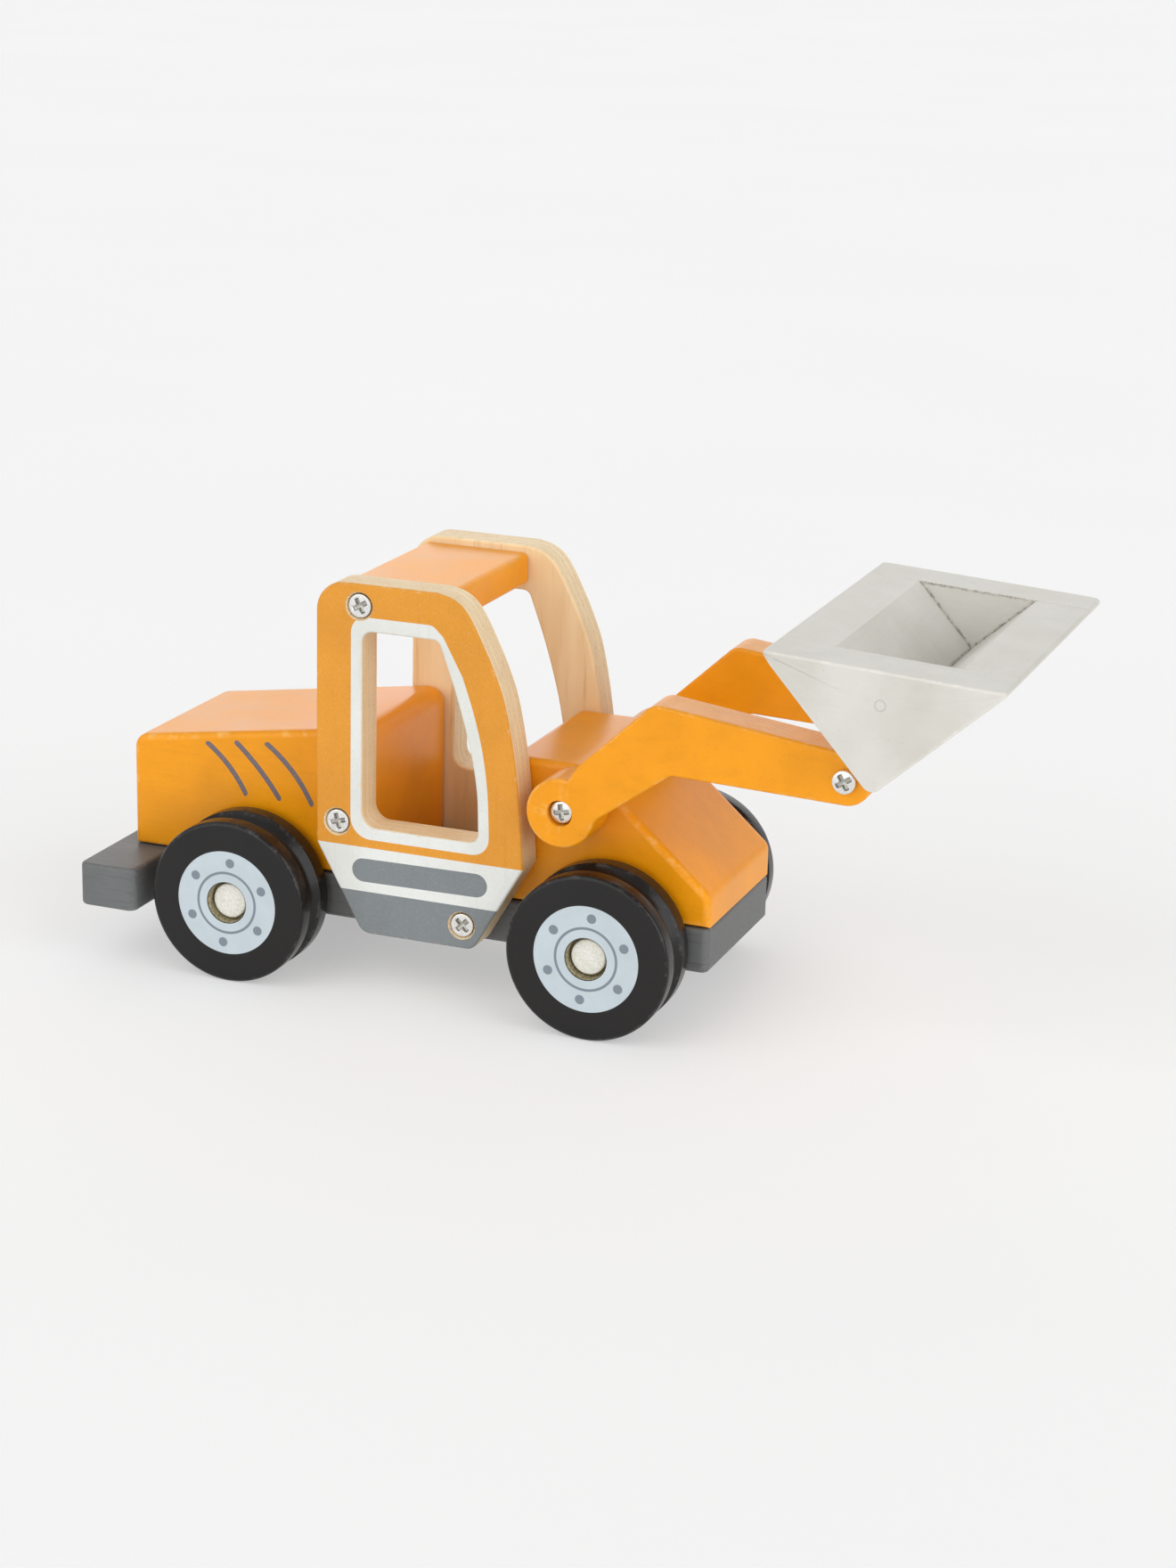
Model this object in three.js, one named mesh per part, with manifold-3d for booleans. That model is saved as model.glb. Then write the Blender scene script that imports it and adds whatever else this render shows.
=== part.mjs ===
// Wooden toy wheel loader: a plank chassis on two dowel axles, painted wood
// hoods, a plywood cab, plywood lift arms and a tilting wooden bucket.
// Millimetres, +X towards the bucket, +Z up, right-hand side of the toy at -Y.
// All x values are measured from the rear axle; the whole toy is moved by
// -CENTRE_X at the end so that the origin sits under its middle.
import * as THREE from 'three';
import { mergeVertices } from 'three/addons/utils/BufferGeometryUtils.js';
import Module from 'manifold-3d';

const wasm = await Module();
wasm.setup();

// Overall ------------------------------------------------------------------
const CENTRE_X = 86.8;
const GAP = 0.3;
const BODY_HALF = 26.7;

// Wheels and axles ---------------------------------------------------------
const WHEEL_R = 23.5;
const WHEEL_W = 17.5;
const WHEEL_FACE_Y = 46.5;
const RIM_W = 5.0;
const GROOVE_W = 7.0;
const GROOVE_DEEP = 2.4;
const HUB_HOLE_R = 5.85;
const HUB_HOLE_DEEP = 4.5;
const AXLE_R = 5.0;
const AXLE_HALF = 44.5;
const WHEELBASE = 108;

// Chassis plank ------------------------------------------------------------
const PLANK_LOW = 16.8;
const PLANK_TOP = 29.5;
const PLANK_REAR = -46.1;
const PLANK_FRONT = 135.9;
const BUMPER_FRONT = -28.4;
const BUMPER_HALF = 48.3;

// Hood blocks --------------------------------------------------------------
const BLOCK_LOW = PLANK_TOP + GAP;
const REAR_HOOD = { rear: -39.7, front: 34.6, rearTop: 62.5, frontTop: 73.5 };
const FRONT_HOOD = { rear: 76, bend: 99.2, front: 135.9, top: 71.2, nose: 38.7 };
const BLOCK_ROUND = 1.8;

// Cab ----------------------------------------------------------------------
const CAB_INNER = BODY_HALF + GAP;
const CAB_PLY = 10.5;
const CAB_REAR = 23.5;
const CAB_TOP = 117.4;
const CAB_SILL = 42.7;
const CAB_FOOT = 17.4;
const CAB_FRONT_EDGE = [
  [85.7, CAB_SILL], [84.5, 58], [82.7, 72.9], [79.7, 88], [76.3, 97.4],
  [72.9, 104.5], [70.1, 109.8], [67.3, 113.8], [63.6, 116.3], [59.4, CAB_TOP],
];
const WINDOW_EDGE = [
  [72.1, 53], [71.7, 62], [70.3, 71], [67.8, 81], [64.7, 91], [61.9, 98.6],
];
const ROOF = { rear: 27.3, front: 59.8, low: 106.3, top: 115.5 };
const CAB_SCREWS = { roof: [36.4, 111.2], hood: [29.9, 49.1], plank: [67.8, 24.1] };

// Lift arms ----------------------------------------------------------------
const ARM_INNER = BODY_HALF + GAP;
const ARM_PLY = 13.3;
const LIFT_PIVOT = [97, 61.3];
const ARM_BULB_R = 9.7;
const TILT_PIVOT = [176, 81.2];
const ARM_END_R = 7;

// Bucket -------------------------------------------------------------------
const BUCKET_CORNER = [186.7, 82.4];
const BUCKET_FLOOR_ANGLE = THREE.MathUtils.degToRad(42);
const FLOOR_LEG = 46.5;
const BACK_LEG = 47.2;
const BUCKET_HALF = 55.6;
const BOARD = 11.6;
const CHEEK = 15.2;
const CHEEK_PLAN_ROUND = 4.5;
const HINGE_BLOCK = { high: 14, round: 4.5 };

// Screws -------------------------------------------------------------------
const SCREW_HEAD_R = 3.3;
const SCREW_SHANK_R = 1.7;
const SCREW_LENGTH = 22;
const PIVOT_HEAD_R = 3.15;
const PIVOT_SHANK_R = 1.9;
const PIVOT_RECESS = 3.4;

// Finishes -----------------------------------------------------------------
const PAINT = {
  orange: [0xf0a023, 0.38], cab: [0xe09c34, 0.5], grey: [0x6a6c6b, 0.55],
  bucket: [0xd6d4cc, 0.55], tyre: [0x2d2b2b, 0.35], dowel: [0xe8e4d2, 0.6],
};

function finish(name) {
  const [color, roughness] = PAINT[name];
  return new THREE.MeshStandardMaterial({ color, roughness, metalness: 0 });
}

function zinc() {
  return new THREE.MeshStandardMaterial({ color: 0xd8d8d4, roughness: 0.25, metalness: 1 });
}

// Solid helpers ------------------------------------------------------------
function weld(geometry) {
  const bare = geometry.clone();
  bare.deleteAttribute('normal');
  bare.deleteAttribute('uv');
  return mergeVertices(bare, 1e-4);
}

function toSolid(geometry) {
  const g = weld(geometry);
  const index = g.index.array;
  return new wasm.Manifold(new wasm.Mesh({
    numProp: 3,
    vertProperties: new Float32Array(g.attributes.position.array),
    triVerts: new Uint32Array(index),
  }));
}

function toGeometry(solid) {
  const mesh = solid.getMesh();
  const g = new THREE.BufferGeometry();
  g.setAttribute('position', new THREE.BufferAttribute(new Float32Array(mesh.vertProperties), 3));
  g.setIndex(new THREE.BufferAttribute(new Uint32Array(mesh.triVerts), 1));
  g.computeVertexNormals();
  return g;
}

function cut(geometry, ...tools) {
  let solid = toSolid(geometry);
  for (const tool of tools) {
    solid = solid.subtract(toSolid(tool));
  }
  return toGeometry(solid);
}

function keepInside(geometry, envelope) {
  return toGeometry(toSolid(geometry).intersect(toSolid(envelope)));
}

function piece(name, geometry, material) {
  const mesh = new THREE.Mesh(geometry, material);
  mesh.name = name;
  return mesh;
}

// Outline of straight runs between corners [x, z, radius], each corner rounded.
function roundedOutline(corners, steps = 5) {
  const points = [];
  corners.forEach(([x, z, radius = 0], i) => {
    const [ax, az] = corners[(i + corners.length - 1) % corners.length];
    const [bx, bz] = corners[(i + 1) % corners.length];
    const here = new THREE.Vector2(x, z);
    const toA = new THREE.Vector2(ax, az).sub(here).normalize();
    const toB = new THREE.Vector2(bx, bz).sub(here).normalize();
    const half = Math.acos(THREE.MathUtils.clamp(toA.dot(toB), -1, 1)) / 2;
    if (radius === 0 || half > 1.5) {
      points.push(here);
      return;
    }
    const centre = toA.clone().add(toB).normalize().multiplyScalar(radius / Math.sin(half)).add(here);
    const reach = radius / Math.tan(half);
    const from = here.clone().addScaledVector(toA, reach).sub(centre);
    const to = here.clone().addScaledVector(toB, reach).sub(centre);
    const sweep = Math.atan2(from.x * to.y - from.y * to.x, from.dot(to));
    for (let s = 0; s <= steps; s += 1) {
      const turned = from.clone().rotateAround(new THREE.Vector2(0, 0), (sweep * s) / steps);
      points.push(turned.add(centre));
    }
  });
  return points;
}

// Plate whose outline lies in the x-z plane, from y = low to y = high, with
// softened face edges.
function plate(outline, low, high, soften = 0, steps = 1, holes = []) {
  const shape = new THREE.Shape(outline);
  for (const hole of holes) {
    shape.holes.push(new THREE.Path(hole));
  }
  const geometry = new THREE.ExtrudeGeometry(shape, {
    depth: high - low - 2 * soften,
    bevelEnabled: soften > 0,
    bevelSize: soften,
    bevelThickness: soften,
    bevelOffset: -soften,
    bevelSegments: steps,
  });
  geometry.rotateX(Math.PI / 2);
  geometry.translate(0, high - soften, 0);
  return geometry;
}

// Round bar along y, centred on (x, z).
function barY(radius, x, z, low, high, sides = 24) {
  const bar = new THREE.CylinderGeometry(radius, radius, high - low, sides);
  bar.translate(x, (low + high) / 2, z);
  return bar;
}

// Turned shape about the y axis; profile points are [radius, height].
function turned(profile, sides) {
  return new THREE.LatheGeometry(profile.map(([r, h]) => new THREE.Vector2(r, h)), sides);
}

// Wheels and axles ---------------------------------------------------------
// The profile runs from the wheel's inner face (height 0) to its printed
// outer face, with two treads either side of a hollow groove.
function wheelProfile() {
  const bore = AXLE_R + GAP;
  const edge = 0.8;
  const grooveSteps = 4;
  const grooveStart = WHEEL_W - RIM_W - GROOVE_W;
  const points = [[bore, 0], [WHEEL_R - edge, 0], [WHEEL_R, edge]];
  for (let s = 0; s <= grooveSteps; s += 1) {
    const t = s / grooveSteps;
    points.push([WHEEL_R - GROOVE_DEEP * Math.sin(Math.PI * t), grooveStart + GROOVE_W * t]);
  }
  points.push([WHEEL_R, WHEEL_W - edge], [WHEEL_R - edge, WHEEL_W], [HUB_HOLE_R, WHEEL_W]);
  points.push([HUB_HOLE_R, WHEEL_W - HUB_HOLE_DEEP], [bore, WHEEL_W - HUB_HOLE_DEEP], [bore, 0]);
  return points;
}

function wheel(name, x, side) {
  const geometry = turned(wheelProfile(), 44);
  if (side < 0) {
    geometry.rotateX(Math.PI);
  }
  geometry.translate(x, side * (WHEEL_FACE_Y - WHEEL_W), WHEEL_R);
  return piece(name, geometry, finish('tyre'));
}

function axle(name, x) {
  const bevel = 0.5;
  const profile = [
    [0, -AXLE_HALF], [AXLE_R - bevel, -AXLE_HALF], [AXLE_R, bevel - AXLE_HALF],
    [AXLE_R, AXLE_HALF - bevel], [AXLE_R - bevel, AXLE_HALF], [0, AXLE_HALF],
  ];
  const geometry = turned(profile, 28);
  geometry.translate(x, 0, WHEEL_R);
  return piece(name, geometry, finish('dowel'));
}

// Screws -------------------------------------------------------------------
// Cross slot for the screwdriver, its mouth at height 0 and cut downwards.
function crossSlot(reach, width, deep) {
  const along = new THREE.BoxGeometry(2 * reach, 2 * deep, width);
  const across = new THREE.BoxGeometry(width, 2 * deep, 2 * reach);
  return [along, across];
}

// Screw standing along +y with its point at -length and the top of its head
// at 0; headProfile gives the head from the shank out to its crown.
function screw(headProfile, shankR, length, slot) {
  const profile = [[0, -length], [shankR, 2 * shankR - length], ...headProfile];
  return cut(turned(profile, 20), ...crossSlot(slot.reach, slot.width, slot.deep));
}

function countersunkScrew(name, [x, z], side) {
  const head = [
    [SCREW_SHANK_R, -3.2], [SCREW_HEAD_R, -1.2], [SCREW_HEAD_R, -0.5], [SCREW_HEAD_R - 0.6, 0], [0, 0],
  ];
  const geometry = screw(head, SCREW_SHANK_R, SCREW_LENGTH, { reach: 1.9, width: 1.0, deep: 1.5 });
  return placeScrew(name, geometry, x, z, side, CAB_INNER + CAB_PLY - 0.2);
}

function panHeadProfile() {
  return [
    [PIVOT_SHANK_R, -2.2], [PIVOT_HEAD_R, -2.2], [PIVOT_HEAD_R, -0.9],
    [PIVOT_HEAD_R - 0.8, 0], [0, 0],
  ];
}

function pivotScrew(name, [x, z], side, headTop, length) {
  const slot = { reach: 1.9, width: 1.0, deep: 1.4 };
  const geometry = screw(panHeadProfile(), PIVOT_SHANK_R, length, slot);
  return placeScrew(name, geometry, x, z, side, headTop);
}

function placeScrew(name, geometry, x, z, side, headTop) {
  geometry.rotateY(0.4 + z);
  if (side < 0) {
    geometry.rotateX(Math.PI);
  }
  geometry.translate(x, side * headTop, z);
  return piece(name, geometry, zinc());
}

// Chassis plank ------------------------------------------------------------
// T-shaped in plan: the crossbar is the rear bumper.
function chassisPlank() {
  const corner = 2.2;
  const outline = roundedOutline([
    [PLANK_REAR, -BUMPER_HALF, corner], [BUMPER_FRONT, -BUMPER_HALF, corner],
    [BUMPER_FRONT, -BODY_HALF, 1.2], [PLANK_FRONT, -BODY_HALF, corner],
    [PLANK_FRONT, BODY_HALF, corner], [BUMPER_FRONT, BODY_HALF, 1.2],
    [BUMPER_FRONT, BUMPER_HALF, corner], [PLANK_REAR, BUMPER_HALF, corner],
  ], 4);
  const soften = 0.9;
  const blank = new THREE.ExtrudeGeometry(new THREE.Shape(outline), {
    depth: PLANK_TOP - PLANK_LOW - 2 * soften,
    bevelSize: soften,
    bevelThickness: soften,
    bevelOffset: -soften,
    bevelSegments: 2,
  });
  blank.translate(0, 0, PLANK_LOW + soften);
  const bores = [0, WHEELBASE].map((x) => barY(AXLE_R + GAP, x, WHEEL_R, -60, 60, 28));
  return piece('chassis_plank', cut(blank, ...bores, ...screwBores(CAB_SCREWS.plank)), finish('grey'));
}

// Pilot holes for the cab screws, bored into a middle block from both sides.
function screwBores([x, z]) {
  const deepest = CAB_INNER + CAB_PLY - SCREW_LENGTH - 1;
  return [-1, 1].map((side) => {
    const [low, high] = [deepest, 60].map((y) => side * y).sort((a, b) => a - b);
    return barY(SCREW_SHANK_R + GAP, x, z, low, high, 16);
  });
}

// Hood blocks --------------------------------------------------------------
function rearHood() {
  const h = REAR_HOOD;
  const outline = roundedOutline([
    [h.rear, BLOCK_LOW, 0], [h.front, BLOCK_LOW, 0],
    [h.front, h.frontTop, 5], [h.rear, h.rearTop, 4.5],
  ], 6);
  const block = plate(outline, -BODY_HALF, BODY_HALF, BLOCK_ROUND, 2);
  return piece('rear_hood', cut(block, ...screwBores(CAB_SCREWS.hood)), finish('orange'));
}

function frontHood() {
  const h = FRONT_HOOD;
  const outline = roundedOutline([
    [h.rear, BLOCK_LOW, 0], [h.front, BLOCK_LOW, 0], [h.front, h.nose, 4],
    [h.bend, h.top, 14], [h.rear, h.top, 3],
  ], 6);
  const block = plate(outline, -BODY_HALF, BODY_HALF, BLOCK_ROUND, 2);
  const [x, z] = LIFT_PIVOT;
  const pilots = [[-60, -10], [10, 60]].map(([a, b]) => barY(PIVOT_SHANK_R + GAP, x, z, a, b, 16));
  return piece('front_hood', cut(block, ...pilots), finish('orange'));
}

// Cab ----------------------------------------------------------------------
function cabOutline() {
  const front = CAB_FRONT_EDGE.map(([x, z]) => new THREE.Vector2(x, z));
  const curve = new THREE.SplineCurve(front).getPoints(16);
  const rest = roundedOutline([
    [CAB_FRONT_EDGE.at(-1)[0], CAB_TOP, 0], [CAB_REAR, CAB_TOP, 8.5], [CAB_REAR, CAB_SILL, 3],
    [37.6, CAB_FOOT, 4], [71.3, CAB_FOOT, 4], [CAB_FRONT_EDGE[0][0], CAB_SILL, 0],
  ], 6);
  return [...rest.slice(1, -1), ...curve];
}

function windowOutline() {
  const edge = WINDOW_EDGE.map(([x, z]) => new THREE.Vector2(x, z));
  const curve = new THREE.SplineCurve(edge).getPoints(8).map((p) => [p.x, p.y, 0]);
  return roundedOutline([
    [37.2, 104.2, 3], [37.2, 48.4, 4.5], [72.2, 48.4, 2.8], ...curve, [59.8, 104.2, 2.5],
  ], 5);
}

function cabSide(name, side) {
  const low = Math.min(side * CAB_INNER, side * (CAB_INNER + CAB_PLY));
  const blank = plate(cabOutline(), low, low + CAB_PLY, 0.7, 1, [windowOutline()]);
  const tools = Object.values(CAB_SCREWS).map(([x, z]) => countersink(x, z, side));
  return piece(name, cut(blank, ...tools), finish('cab'));
}

// Stepped hole for a countersunk screw: shank bore, cone and a shallow recess.
function countersink(x, z, side) {
  const wide = SCREW_HEAD_R + 0.45;
  const tool = turned([
    [0, -20], [SCREW_SHANK_R + GAP, -20], [SCREW_SHANK_R + GAP, -3.7],
    [wide, -1.5], [wide, 2], [0, 2],
  ], 24);
  if (side < 0) {
    tool.rotateX(Math.PI);
  }
  tool.translate(x, side * (CAB_INNER + CAB_PLY), z);
  return tool;
}

function cabRoof() {
  const r = ROOF;
  const outline = roundedOutline([
    [r.rear, r.low, 1.5], [r.front, r.low, 1.5], [r.front, r.top, 2], [r.rear, r.top, 2],
  ], 4);
  const block = plate(outline, -BODY_HALF, BODY_HALF, 0.6);
  return piece('cab_roof', cut(block, ...screwBores(CAB_SCREWS.roof)), finish('orange'));
}

// Lift arms ----------------------------------------------------------------
// The round ends and the cranked bar are drawn as one outline.
function armOutline() {
  const [px, pz] = LIFT_PIVOT;
  const [tx, tz] = TILT_PIVOT;
  const bulb = [];
  for (let s = 0; s <= 20; s += 1) {
    const a = THREE.MathUtils.degToRad(78 + (272 * s) / 20);
    bulb.push([px + ARM_BULB_R * Math.cos(a), pz + ARM_BULB_R * Math.sin(a), 0]);
  }
  const tip = [];
  for (let s = 0; s <= 14; s += 1) {
    const a = THREE.MathUtils.degToRad(-91 + (173 * s) / 14);
    tip.push([tx + ARM_END_R * Math.cos(a), tz + ARM_END_R * Math.sin(a), 0]);
  }
  return roundedOutline([
    ...bulb, [108, 61.2, 4], [128, 75.9, 3], ...tip, [122.7, 94.9, 5], [101.8, 75.1, 5],
  ], 5);
}

function liftArm(name, side) {
  const low = Math.min(side * ARM_INNER, side * (ARM_INNER + ARM_PLY));
  const blank = plate(armOutline(), low, low + ARM_PLY, 0.7);
  const [px, pz] = LIFT_PIVOT;
  const [tx, tz] = TILT_PIVOT;
  const face = ARM_INNER + ARM_PLY;
  const span = (a, b) => [side * a, side * b].sort((m, n) => m - n);
  const recess = barY(PIVOT_HEAD_R + 0.45, px, pz, ...span(face - PIVOT_RECESS, face + 5));
  const holes = [[px, pz], [tx, tz]].map(([x, z]) => (
    barY(PIVOT_SHANK_R + GAP, x, z, ...span(ARM_INNER - 5, face + 5), 16)
  ));
  return piece(name, cut(blank, recess, ...holes), finish('orange'));
}

// Bucket -------------------------------------------------------------------
// Bucket outlines are drawn with u along the floor board and v up the back
// board from their shared outer corner, then swung into place.
function fromBucket(points) {
  const c = Math.cos(BUCKET_FLOOR_ANGLE);
  const s = Math.sin(BUCKET_FLOOR_ANGLE);
  const [x0, z0] = BUCKET_CORNER;
  return points.map(([u, v, radius = 0]) => [x0 + u * c - v * s, z0 + u * s + v * c, radius]);
}

function bucketPlate(corners, low, high, soften, steps = 5) {
  return plate(roundedOutline(fromBucket(corners), steps), low, high, soften);
}

function boardEnd() {
  return BUCKET_HALF - CHEEK - GAP;
}

function bucketFloor() {
  const end = boardEnd();
  const inner = FLOOR_LEG * (1 - BOARD / BACK_LEG);
  const corners = [[0, 0, 3], [FLOOR_LEG, 0, 1], [inner, BOARD, 0], [0, BOARD, 0]];
  return piece('bucket_floor', bucketPlate(corners, -end, end, 0), finish('bucket'));
}

function bucketBack() {
  const end = boardEnd();
  const low = BOARD + GAP;
  const inner = BACK_LEG * (1 - BOARD / FLOOR_LEG);
  const corners = [[0, low, 0], [BOARD, low, 0], [BOARD, inner, 0], [0, BACK_LEG, 1]];
  return piece('bucket_back', bucketPlate(corners, -end, end, 0), finish('bucket'));
}

// Prism seen square-on to the bucket's rim, with round plan corners.
function bucketEnvelope() {
  const rim = Math.hypot(FLOOR_LEG, BACK_LEG);
  const [[x, z]] = fromBucket([[FLOOR_LEG / 2, BACK_LEG / 2]]);
  const plan = roundedOutline([
    [-rim / 2, -BUCKET_HALF, CHEEK_PLAN_ROUND], [rim / 2, -BUCKET_HALF, CHEEK_PLAN_ROUND],
    [rim / 2, BUCKET_HALF, CHEEK_PLAN_ROUND], [-rim / 2, BUCKET_HALF, CHEEK_PLAN_ROUND],
  ], 6);
  const prism = new THREE.ExtrudeGeometry(new THREE.Shape(plan), { depth: 80, bevelEnabled: false });
  prism.translate(0, 0, -60);
  prism.rotateY(Math.atan2(BACK_LEG, FLOOR_LEG) - BUCKET_FLOOR_ANGLE);
  prism.translate(x, 0, z);
  return prism;
}

function bucketCheek(name, side) {
  const low = Math.min(side * BUCKET_HALF, side * (BUCKET_HALF - CHEEK));
  const corners = [[0, 0, 3], [FLOOR_LEG, 0, 1], [0, BACK_LEG, 1]];
  const blank = bucketPlate(corners, low, low + CHEEK, 0.9);
  return piece(name, keepInside(blank, bucketEnvelope()), finish('bucket'));
}

// Wooden block behind the bucket that the tilt screws run into.
function hingeBlock() {
  const [tx, tz] = TILT_PIVOT;
  const c = Math.cos(BUCKET_FLOOR_ANGLE);
  const s = Math.sin(BUCKET_FLOOR_ANGLE);
  const [dx, dz] = [tx - BUCKET_CORNER[0], tz - BUCKET_CORNER[1]];
  const pivotU = dx * c + dz * s;
  const pivotV = dz * c - dx * s;
  const half = HINGE_BLOCK.high / 2;
  const corners = [
    [pivotU - half, pivotV - half, HINGE_BLOCK.round], [-GAP, pivotV - half, 0],
    [-GAP, pivotV + half, 0], [pivotU - half, pivotV + half, HINGE_BLOCK.round],
  ];
  const block = bucketPlate(corners, -BODY_HALF, BODY_HALF, 0);
  const pilots = [[-60, -10], [10, 60]].map(([a, b]) => barY(PIVOT_SHANK_R + GAP, tx, tz, a, b, 16));
  return piece('bucket_hinge_block', cut(block, ...pilots), finish('bucket'));
}

// Assembly -----------------------------------------------------------------
const toy = new THREE.Group();
toy.name = 'wheel_loader';
toy.add(chassisPlank(), rearHood(), frontHood(), cabRoof());
toy.add(bucketFloor(), bucketBack(), hingeBlock());
for (const [word, side] of [['right', -1], ['left', 1]]) {
  toy.add(cabSide(`cab_side_${word}`, side));
  for (const [place, at] of Object.entries(CAB_SCREWS)) {
    toy.add(countersunkScrew(`cab_screw_${place}_${word}`, at, side));
  }
  toy.add(liftArm(`arm_${word}`, side));
  const face = ARM_INNER + ARM_PLY;
  toy.add(pivotScrew(`lift_screw_${word}`, LIFT_PIVOT, side, face - 1, 27));
  toy.add(pivotScrew(`tilt_screw_${word}`, TILT_PIVOT, side, face + 2.2 + GAP, 30));
  toy.add(bucketCheek(`bucket_cheek_${word}`, side));
  toy.add(wheel(`wheel_rear_${word}`, 0, side));
  toy.add(wheel(`wheel_front_${word}`, WHEELBASE, side));
}
toy.add(axle('axle_rear', 0), axle('axle_front', WHEELBASE));
toy.position.x = -CENTRE_X;

export default toy;
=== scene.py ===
import math

import bmesh
import bpy
import numpy as np
from mathutils import Matrix, Vector
from mathutils.geometry import delaunay_2d_cdt


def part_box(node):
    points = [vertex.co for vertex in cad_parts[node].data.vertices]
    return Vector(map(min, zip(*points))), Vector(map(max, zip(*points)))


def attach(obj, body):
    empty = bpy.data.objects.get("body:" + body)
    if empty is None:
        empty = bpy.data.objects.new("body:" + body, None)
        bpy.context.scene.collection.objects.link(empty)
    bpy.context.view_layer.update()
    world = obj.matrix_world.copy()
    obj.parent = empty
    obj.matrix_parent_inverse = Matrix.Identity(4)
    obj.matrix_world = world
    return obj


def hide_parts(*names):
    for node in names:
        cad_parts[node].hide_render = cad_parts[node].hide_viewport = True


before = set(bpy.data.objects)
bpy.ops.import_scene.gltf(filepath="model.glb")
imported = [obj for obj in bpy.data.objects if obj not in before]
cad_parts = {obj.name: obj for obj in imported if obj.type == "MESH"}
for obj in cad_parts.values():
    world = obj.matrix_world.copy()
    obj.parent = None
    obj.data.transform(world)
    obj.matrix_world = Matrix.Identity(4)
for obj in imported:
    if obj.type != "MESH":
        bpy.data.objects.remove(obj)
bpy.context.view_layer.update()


# Chassis plank
# One T-shaped board of solid wood, sawn, sanded and painted dark grey. The
# crossbar is the rear bumper, and both axle dowels run through the board.
# Sizes in this file are millimetres: x from the rear axle, z from the floor.
axle_low, axle_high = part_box("axle_rear")
REAR_AXLE = 500 * (axle_low.x + axle_high.x)
BODY_HALF = 26.7
PLANK = {"low": 16.8, "top": 29.5, "rear": -46.1, "front": 135.9}
BUMPER = {"front": -28.4, "half": 48.3}
SUPPORT = 0.12


def unit(vectors):
    """Each row divided by its own length."""
    return vectors / np.maximum(np.linalg.norm(vectors, axis=1, keepdims=True), 1e-12)


def rounded(corners, steps=8):
    """Closed outline through corners (x, z, radius): an arc that touches both straight runs
    stands at each corner, and a corner of radius 0 stays a point."""
    c = np.array([p[:2] for p in corners], float)
    r = np.array([p[2] for p in corners], float)
    to_last, to_next = unit(np.roll(c, 1, 0) - c), unit(np.roll(c, -1, 0) - c)
    half = np.arccos(np.clip((to_last * to_next).sum(1), -1, 1)) / 2
    centre = c + unit(to_last + to_next) * (r / np.sin(half))[:, None]
    centre = np.where(r[:, None] > 0, centre, c)
    reach = np.where(r > 0, r / np.tan(half), 0)[:, None]
    a, b = c + to_last * reach - centre, c + to_next * reach - centre
    sweep = np.arctan2(a[:, 0] * b[:, 1] - a[:, 1] * b[:, 0], (a * b).sum(1))
    turn = sweep[:, None] * np.linspace(0, 1, steps + 1)
    x = a[:, :1] * np.cos(turn) - a[:, 1:] * np.sin(turn)
    z = a[:, :1] * np.sin(turn) + a[:, 1:] * np.cos(turn)
    line = (centre[:, None, :] + np.stack([x, z], 2)).reshape(-1, 2)
    line = line[np.linalg.norm(line - np.roll(line, 1, 0), axis=1) > 1e-6]
    area = (line[:, 0] * np.roll(line[:, 1], -1) - line[:, 1] * np.roll(line[:, 0], -1)).sum()
    return line if area > 0 else line[::-1]


def inset(line, distance):
    """The outline moved inwards: each point slides along the sum of its two side normals
    over one plus their dot product, which keeps every side parallel."""
    after = unit(np.roll(line, -1, 0) - line)
    before = np.roll(after, 1, 0)
    n1 = np.stack([-before[:, 1], before[:, 0]], 1)
    n2 = np.stack([-after[:, 1], after[:, 0]], 1)
    return line + distance * (n1 + n2) / (1 + (n1 * n2).sum(1))[:, None]


def grid_faces(rows, columns):
    """Quads between neighbouring rows of a grid whose columns close on themselves."""
    at = np.arange(rows * columns).reshape(rows, columns)
    on = np.roll(at, -1, 1)
    return np.stack([at[:-1], on[:-1], on[1:], at[1:]], 2).reshape(-1, 4)


def inside(points, line):
    """True where a ray from the point towards +x crosses the outline an odd number of times."""
    x, y = points[:, :1], points[:, 1:]
    (ax, ay), (bx, by) = line.T, np.roll(line, -1, 0).T
    slope = (bx - ax) / np.where(by == ay, 1e-12, by - ay)
    return (((ay > y) != (by > y)) & (x < slope * (y - ay) + ax)).sum(1) % 2 == 1


def flat_face(outer, holes=(), marks=()):
    """The face that fills an outline: one polygon, or where it has holes or marks the
    triangles between them. Gives the points, the faces and their middles."""
    if not holes and not marks:
        return outer, np.arange(len(outer))[None], outer.mean(0)[None]
    outer, *holes = [line.astype(np.float32).astype(float) for line in (outer, *holes)]
    lines = [outer, *holes, *marks]
    first = np.cumsum([0] + [len(line) for line in lines])
    edges = [np.stack([np.arange(len(l)), np.roll(np.arange(len(l)), -1)], 1) + f
             for l, f in zip(lines, first)]
    points = [Vector(p) for p in np.concatenate(lines).tolist()]
    points, _, faces, *_ = delaunay_2d_cdt(points, np.concatenate(edges).tolist(), [], 0, 1e-6)
    points, faces = np.array([tuple(p) for p in points]), np.array(faces)
    middles = points[faces].mean(1)
    keep = inside(middles, outer)
    for hole in holes:
        keep &= ~inside(middles, hole)
    return points, faces[keep], middles[keep]


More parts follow.
